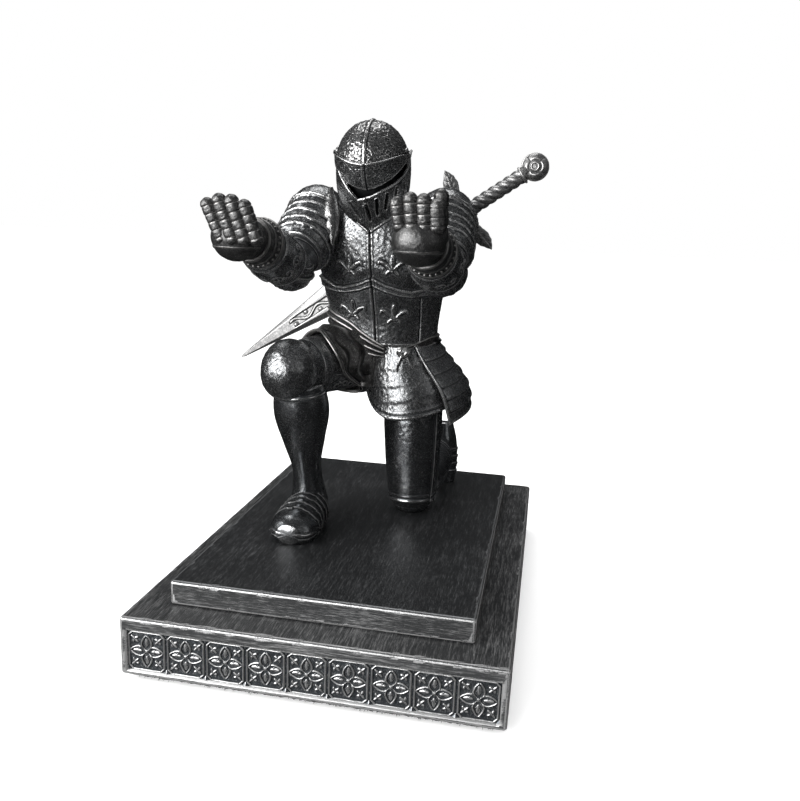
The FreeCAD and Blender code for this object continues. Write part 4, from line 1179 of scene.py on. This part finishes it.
def fingers(side, palm, sign, reach, thumb_reach, shift, plates, lift, girths, drops, carves):
    """Four plated fingers and a thumb, pointing up. Drops are how much shorter each finger is."""
    solids = []
    for number, (girth, drop, carve) in enumerate(zip(girths, drops, carves)):
        spread = number - 1.5
        root = palm + vec(spread * 2.5 - shift / 2, -3.5 + 0.2 * spread ** 2, lift)
        tip = root + vec(shift + 0.16 * spread, -0.4, reach + 0.6 - drop)
        solids.append(finger(root, tip, 1.52, plates, girth, carve))
    thumb = palm + vec(sign * 4.0 - shift / 2, 0.6, 0.6)
    tip = thumb + vec(shift * 0.6, -0.5, thumb_reach)
    solids.append(finger(thumb, tip, 1.5, 3))
    armour(f"{side}_finger_plates", solids, f"{side}_fingers", material=GLOVE)


ARMS = {
    "right": {
        "sign": -1, "shoulder": spot(-18.6, 9.8, 75.8), "elbow": spot(-20.1, -7.6, 64.2),
        "wrist": spot(-22.6, -25.6, 70.4), "palm": spot(-23.4, -31.4, 71.4),
        "cap": (7.1, 7.3, 7.7), "hand": (5.5, 5.7, 3.2),
        "upper": [(0, 6.6, 6.3), (0.55, 6.4, 6.0), (1, 5.1, 4.9)],
        "lower": [(0, 5.0, 4.9), (0.45, 6.1, 6.0), (1, 4.1, 4.0)],
        "fingers": {"reach": 6.8, "thumb_reach": 3.6, "shift": -2.6, "plates": 6, "lift": -0.4,
                    "girths": (0.97, 1, 1, 0.95), "drops": (0.9, 0, 0.1, 1.0),
                    "carves": (0.17, 0.18, 0.18, 0.17)}},
    "left": {
        "sign": 1, "shoulder": spot(14.3, 10, 76), "elbow": spot(16.3, -7.4, 64.8),
        "wrist": spot(15.6, -25.4, 70.6), "palm": spot(14.8, -31.2, 72.2),
        "cap": (7.4, 7.3, 7.8), "hand": (5.6, 5.8, 3.2),
        "upper": [(0, 6.5, 6.3), (0.55, 6.3, 6.0), (1, 5.1, 4.9)],
        "lower": [(0, 5.0, 4.9), (0.45, 6.0, 5.9), (1, 4.2, 4.1)],
        "fingers": {"reach": 4.4, "thumb_reach": 8.2, "shift": -0.4, "plates": 4, "lift": 2.8,
                    "girths": (0.95, 1, 1.02, 1.14), "drops": (0.9, 0, 0.2, 1.1),
                    "carves": (0.12, 0.2, 0.2, 0.05)}}}
for side, arm in ARMS.items():
    pauldron(side, arm["shoulder"], arm["elbow"], arm["cap"], arm["sign"])
    upper_arm(side, arm["shoulder"], arm["elbow"], arm["upper"])
    couter(side, arm["elbow"], arm["sign"])
    forearm(side, arm["elbow"], arm["wrist"], arm["lower"])
    gauntlet(side, arm["wrist"], arm["palm"], arm["hand"], arm["sign"])
    fingers(side, arm["palm"], arm["sign"], **arm["fingers"])


# ---------------------------------------------------------------- sword

GUARD = spot(17.5, 25.3, 78.8)
SLOPE = math.radians(34.65)
UP_SWORD = vec(math.cos(SLOPE), 0, math.sin(SLOPE))
OVER_SWORD = vec(-math.sin(SLOPE), 0, math.cos(SLOPE))


def on_sword(along, over, out):
    """A place on the sword: along it towards the pommel, over its width, and out towards the front."""
    along, over, out = np.broadcast_arrays(along, over, out)
    return (GUARD + along[..., None] * UP_SWORD + over[..., None] * OVER_SWORD
            - out[..., None] * vec(0, 1, 0))


def sword_part(name, solids, node):
    armour(name, solids, node, material=SILVER, body="sword", slot="blade_silver")


TIP, TAPER_END, FORTE = -76.5, -43.5, 0.6
FULLER_FOOT, FULLER_HALF, VINE_PITCH = -58, 1.5, 4.2
way = np.concatenate([lines(TIP, TAPER_END, 0.3), lines(TAPER_END + 0.2, FORTE, 0.22)])
half_wide = np.interp(way, (TIP, TIP + 0.9, TAPER_END, FORTE), (0.12, 0.5, 4.35, 4.65))[:, None]
section = np.concatenate([np.linspace(-1, 1, 74), np.linspace(1, -1, 74)[1:-1]])[None, :]
face = np.concatenate([np.ones(74), -np.ones(72)])[None, :]
over = section * half_wide
depth = 0.9 * np.clip((1 - np.abs(section)) / 0.42, 0.06, 1) ** 0.85 * np.clip(half_wide / 2.6, 0.2, 1)
in_fuller = (way[:, None] > FULLER_FOOT) & (np.abs(over) < FULLER_HALF)
channel = 0.42 * step_up(FULLER_HALF - np.abs(over), 0.3) * step_up(way[:, None] - FULLER_FOOT, 2.5)
vine = 0.8 * np.sin(way[:, None] * math.pi / VINE_PITCH)
leaf = bump(np.hypot((way[:, None] % VINE_PITCH) - VINE_PITCH / 2, np.abs(over) - 0.75), 0.5)
leaves = np.maximum(bump(over - vine, 0.3), leaf * 0.9)
depth = depth - channel + 0.32 * leaves * in_fuller
blade = on_sword(way[:, None], over, depth * face)
sword_part("blade_steel", [closed(blade)], "sword_blade")

reach = np.linspace(-12.1, 12.1, 190)[:, None]
turn = np.radians(np.arange(0, 360, 5))[None, :]
part = np.abs(reach) / 12.2
wide = np.interp(part, (0, 0.2, 0.34, 0.62, 0.8, 1.0), (1.7, 1.3, 1.2, 2.3, 1.7, 0.1))
thick = np.interp(part, (0, 0.3, 0.7, 1.0), (1.62, 1.1, 0.95, 0.2))
veins = 0.09 * np.abs(np.sin((np.abs(reach) - np.abs(np.cos(turn)) * 1.4) * 2.1)) * (part > 0.4)
midrib = 0.2 * bump(np.cos(turn), 0.2) * (part > 0.34)
lean = 0.9 * step_up(part - 0.5, 0.5)
shell = on_sword(wide * np.cos(turn) + lean, reach, thick * np.sin(turn) * 0.92)
shell = raised(shell, veins + midrib - 0.1, wrap=True)
solids = [closed(shell)]
for over_at, out_size in ((-3.1, 0.62), (-1.6, 0.8), (0, 1.0), (1.6, 0.8), (3.1, 0.62)):
    for out in (1, -1):
        solids.append(bead(on_sword(0.0, over_at, out * 1.25), out_size * 0.78, sides=16))
sword_part("guard_wings", solids, "sword_guard")

path = on_sword(np.linspace(1.2, 18.4, 240), 0.0, 0.0)
rope = cord(path, 2.0, sides=84, twist=0.9, lobes=3, lobe_depth=0.18)
t = circle(60)
collars = [cord(on_sword(where, 2.0 * np.cos(t), 2.0 * np.sin(t)), 0.36, loop=True) for where in (2.2, 17.4)]
sword_part("grip_rope", [rope] + collars, "sword_grip")


def rose(lat, lon, points):
    """Four petals round a raised heart, inside a rolled rim."""
    up = np.abs(lat)
    petals = 0.42 * np.abs(np.cos(np.radians(lon) * 2)) ** 0.6 * step_up(up - 20, 10) * step_up(64 - up, 8)
    heart = 0.35 * step_up(up - 70, 4) + 0.25 * bump(up - 74, 5)
    return petals + heart + 0.25 * bump(up - 12, 7) - 0.35


disc = dome(on_sword(21.2, 0.0, 0.0), (3.75, 2.7, 3.75), vec(0, -1, 0), rose, rough=0.04, step=0.15)
sword_part("pommel_rose", [closed(disc)], "sword_pommel")

for node, metal in (("sword_carrier", SMOOTH), ("fixing_screws", STEEL)):
    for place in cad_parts[node].material_slots:
        place.material = metal


# ---------------------------------------------------------------- floor, light and camera

TABLE_HALF = 3


def plain_floor():
    mesh = bpy.data.meshes.new("floor")
    corners = [(x * TABLE_HALF, y * TABLE_HALF, 0) for x, y in ((-1, -1), (1, -1), (1, 1), (-1, 1))]
    mesh.from_pydata(corners, [], [(0, 1, 2, 3)])
    floor = bpy.data.objects.new("floor", mesh)
    bpy.context.scene.collection.objects.link(floor)
    material, tree, shader, at = start_material("white_table")
    grain = noise_node(tree, at, 0.02, detail=1.0)
    feed(tree, shader, {
        "Base Color": mix_colours(tree, grain, grey(0.9), grey(0.92)),
        "Roughness": 0.8, "Specular IOR Level": 0.1,
        "Emission Color": grey(1.0), "Emission Strength": 0.22})
    mesh.materials.append(material)
    floor.visible_glossy = False


def studio_world():
    """White all round for the background and the soft light, dark for what shines, so metal reads dark."""
    world = bpy.data.worlds.new("studio")
    world.use_nodes = True
    tree = world.node_tree
    background = tree.nodes["Background"]
    path = add_node(tree, "ShaderNodeLightPath")
    direction = add_node(tree, "ShaderNodeTexCoord").outputs["Generated"]
    split = add_node(tree, "ShaderNodeSeparateXYZ", {0: direction})
    sky = ramp_node(tree, split.outputs["Z"], -0.1, 1.0)
    glossy = mix_colours(tree, sky, grey(0.008, -0.06), grey(0.12, -0.03))
    seen = mix_colours(tree, path.outputs["Is Glossy Ray"], grey(1.0), glossy)
    feed(tree, background, {"Color": seen, "Strength": 1.0})
    world.cycles.sampling_method = "NONE"
    bpy.context.scene.world = world


LIGHT_AIM = Vector((0, 0, 0.06))
SOFTBOXES = {
    "window": ((-0.5, -0.42, 0.27), (0.42, 0.5), 7.0),
    "front": ((-0.22, -0.62, 0.17), (0.24, 0.34), 2.5),
    "fill": ((0.6, -0.35, 0.3), (0.2, 0.5), 0.25),
    "top": ((-0.1, 0.2, 0.62), (0.45, 0.3), 1.6)}


def softbox(name, place, size, watts):
    light = bpy.data.lights.new(name, "AREA")
    light.shape, light.energy = "RECTANGLE", watts
    light.size, light.size_y = size
    lamp = bpy.data.objects.new(name, light)
    lamp.location = place
    lamp.rotation_euler = (LIGHT_AIM - Vector(place)).to_track_quat("-Z", "Y").to_euler()
    bpy.context.scene.collection.objects.link(lamp)


CAMERA_PLACE = Vector((41.33, -191.97, 95.94)) * MM
CAMERA_AZIMUTH, CAMERA_ELEVATION, CAMERA_ROLL = (math.radians(a) for a in (10.267, 12.747, 2.421))
LENS, SENSOR = 35.82, 36.0


def photo_camera():
    flat_back = Vector((math.sin(CAMERA_AZIMUTH), -math.cos(CAMERA_AZIMUTH), 0))
    back = flat_back * math.cos(CAMERA_ELEVATION) + Vector((0, 0, math.sin(CAMERA_ELEVATION)))
    level = Vector((math.cos(CAMERA_AZIMUTH), math.sin(CAMERA_AZIMUTH), 0))
    upright = back.cross(level)
    right = level * math.cos(CAMERA_ROLL) + upright * math.sin(CAMERA_ROLL)
    up = upright * math.cos(CAMERA_ROLL) - level * math.sin(CAMERA_ROLL)
    data = bpy.data.cameras.new("photo_camera")
    data.lens, data.sensor_width = LENS, SENSOR
    data.clip_start, data.clip_end = 0.005, 20
    camera = bpy.data.objects.new("photo_camera", data)
    camera.matrix_world = (Matrix.Translation(CAMERA_PLACE)
                           @ Matrix((right, up, back)).transposed().to_4x4())
    bpy.context.scene.collection.objects.link(camera)
    bpy.context.scene.camera = camera


plain_floor()
studio_world()
for name, (place, size, watts) in SOFTBOXES.items():
    softbox(name, place, size, watts)
photo_camera()
bpy.context.scene.view_settings.view_transform = "Standard"
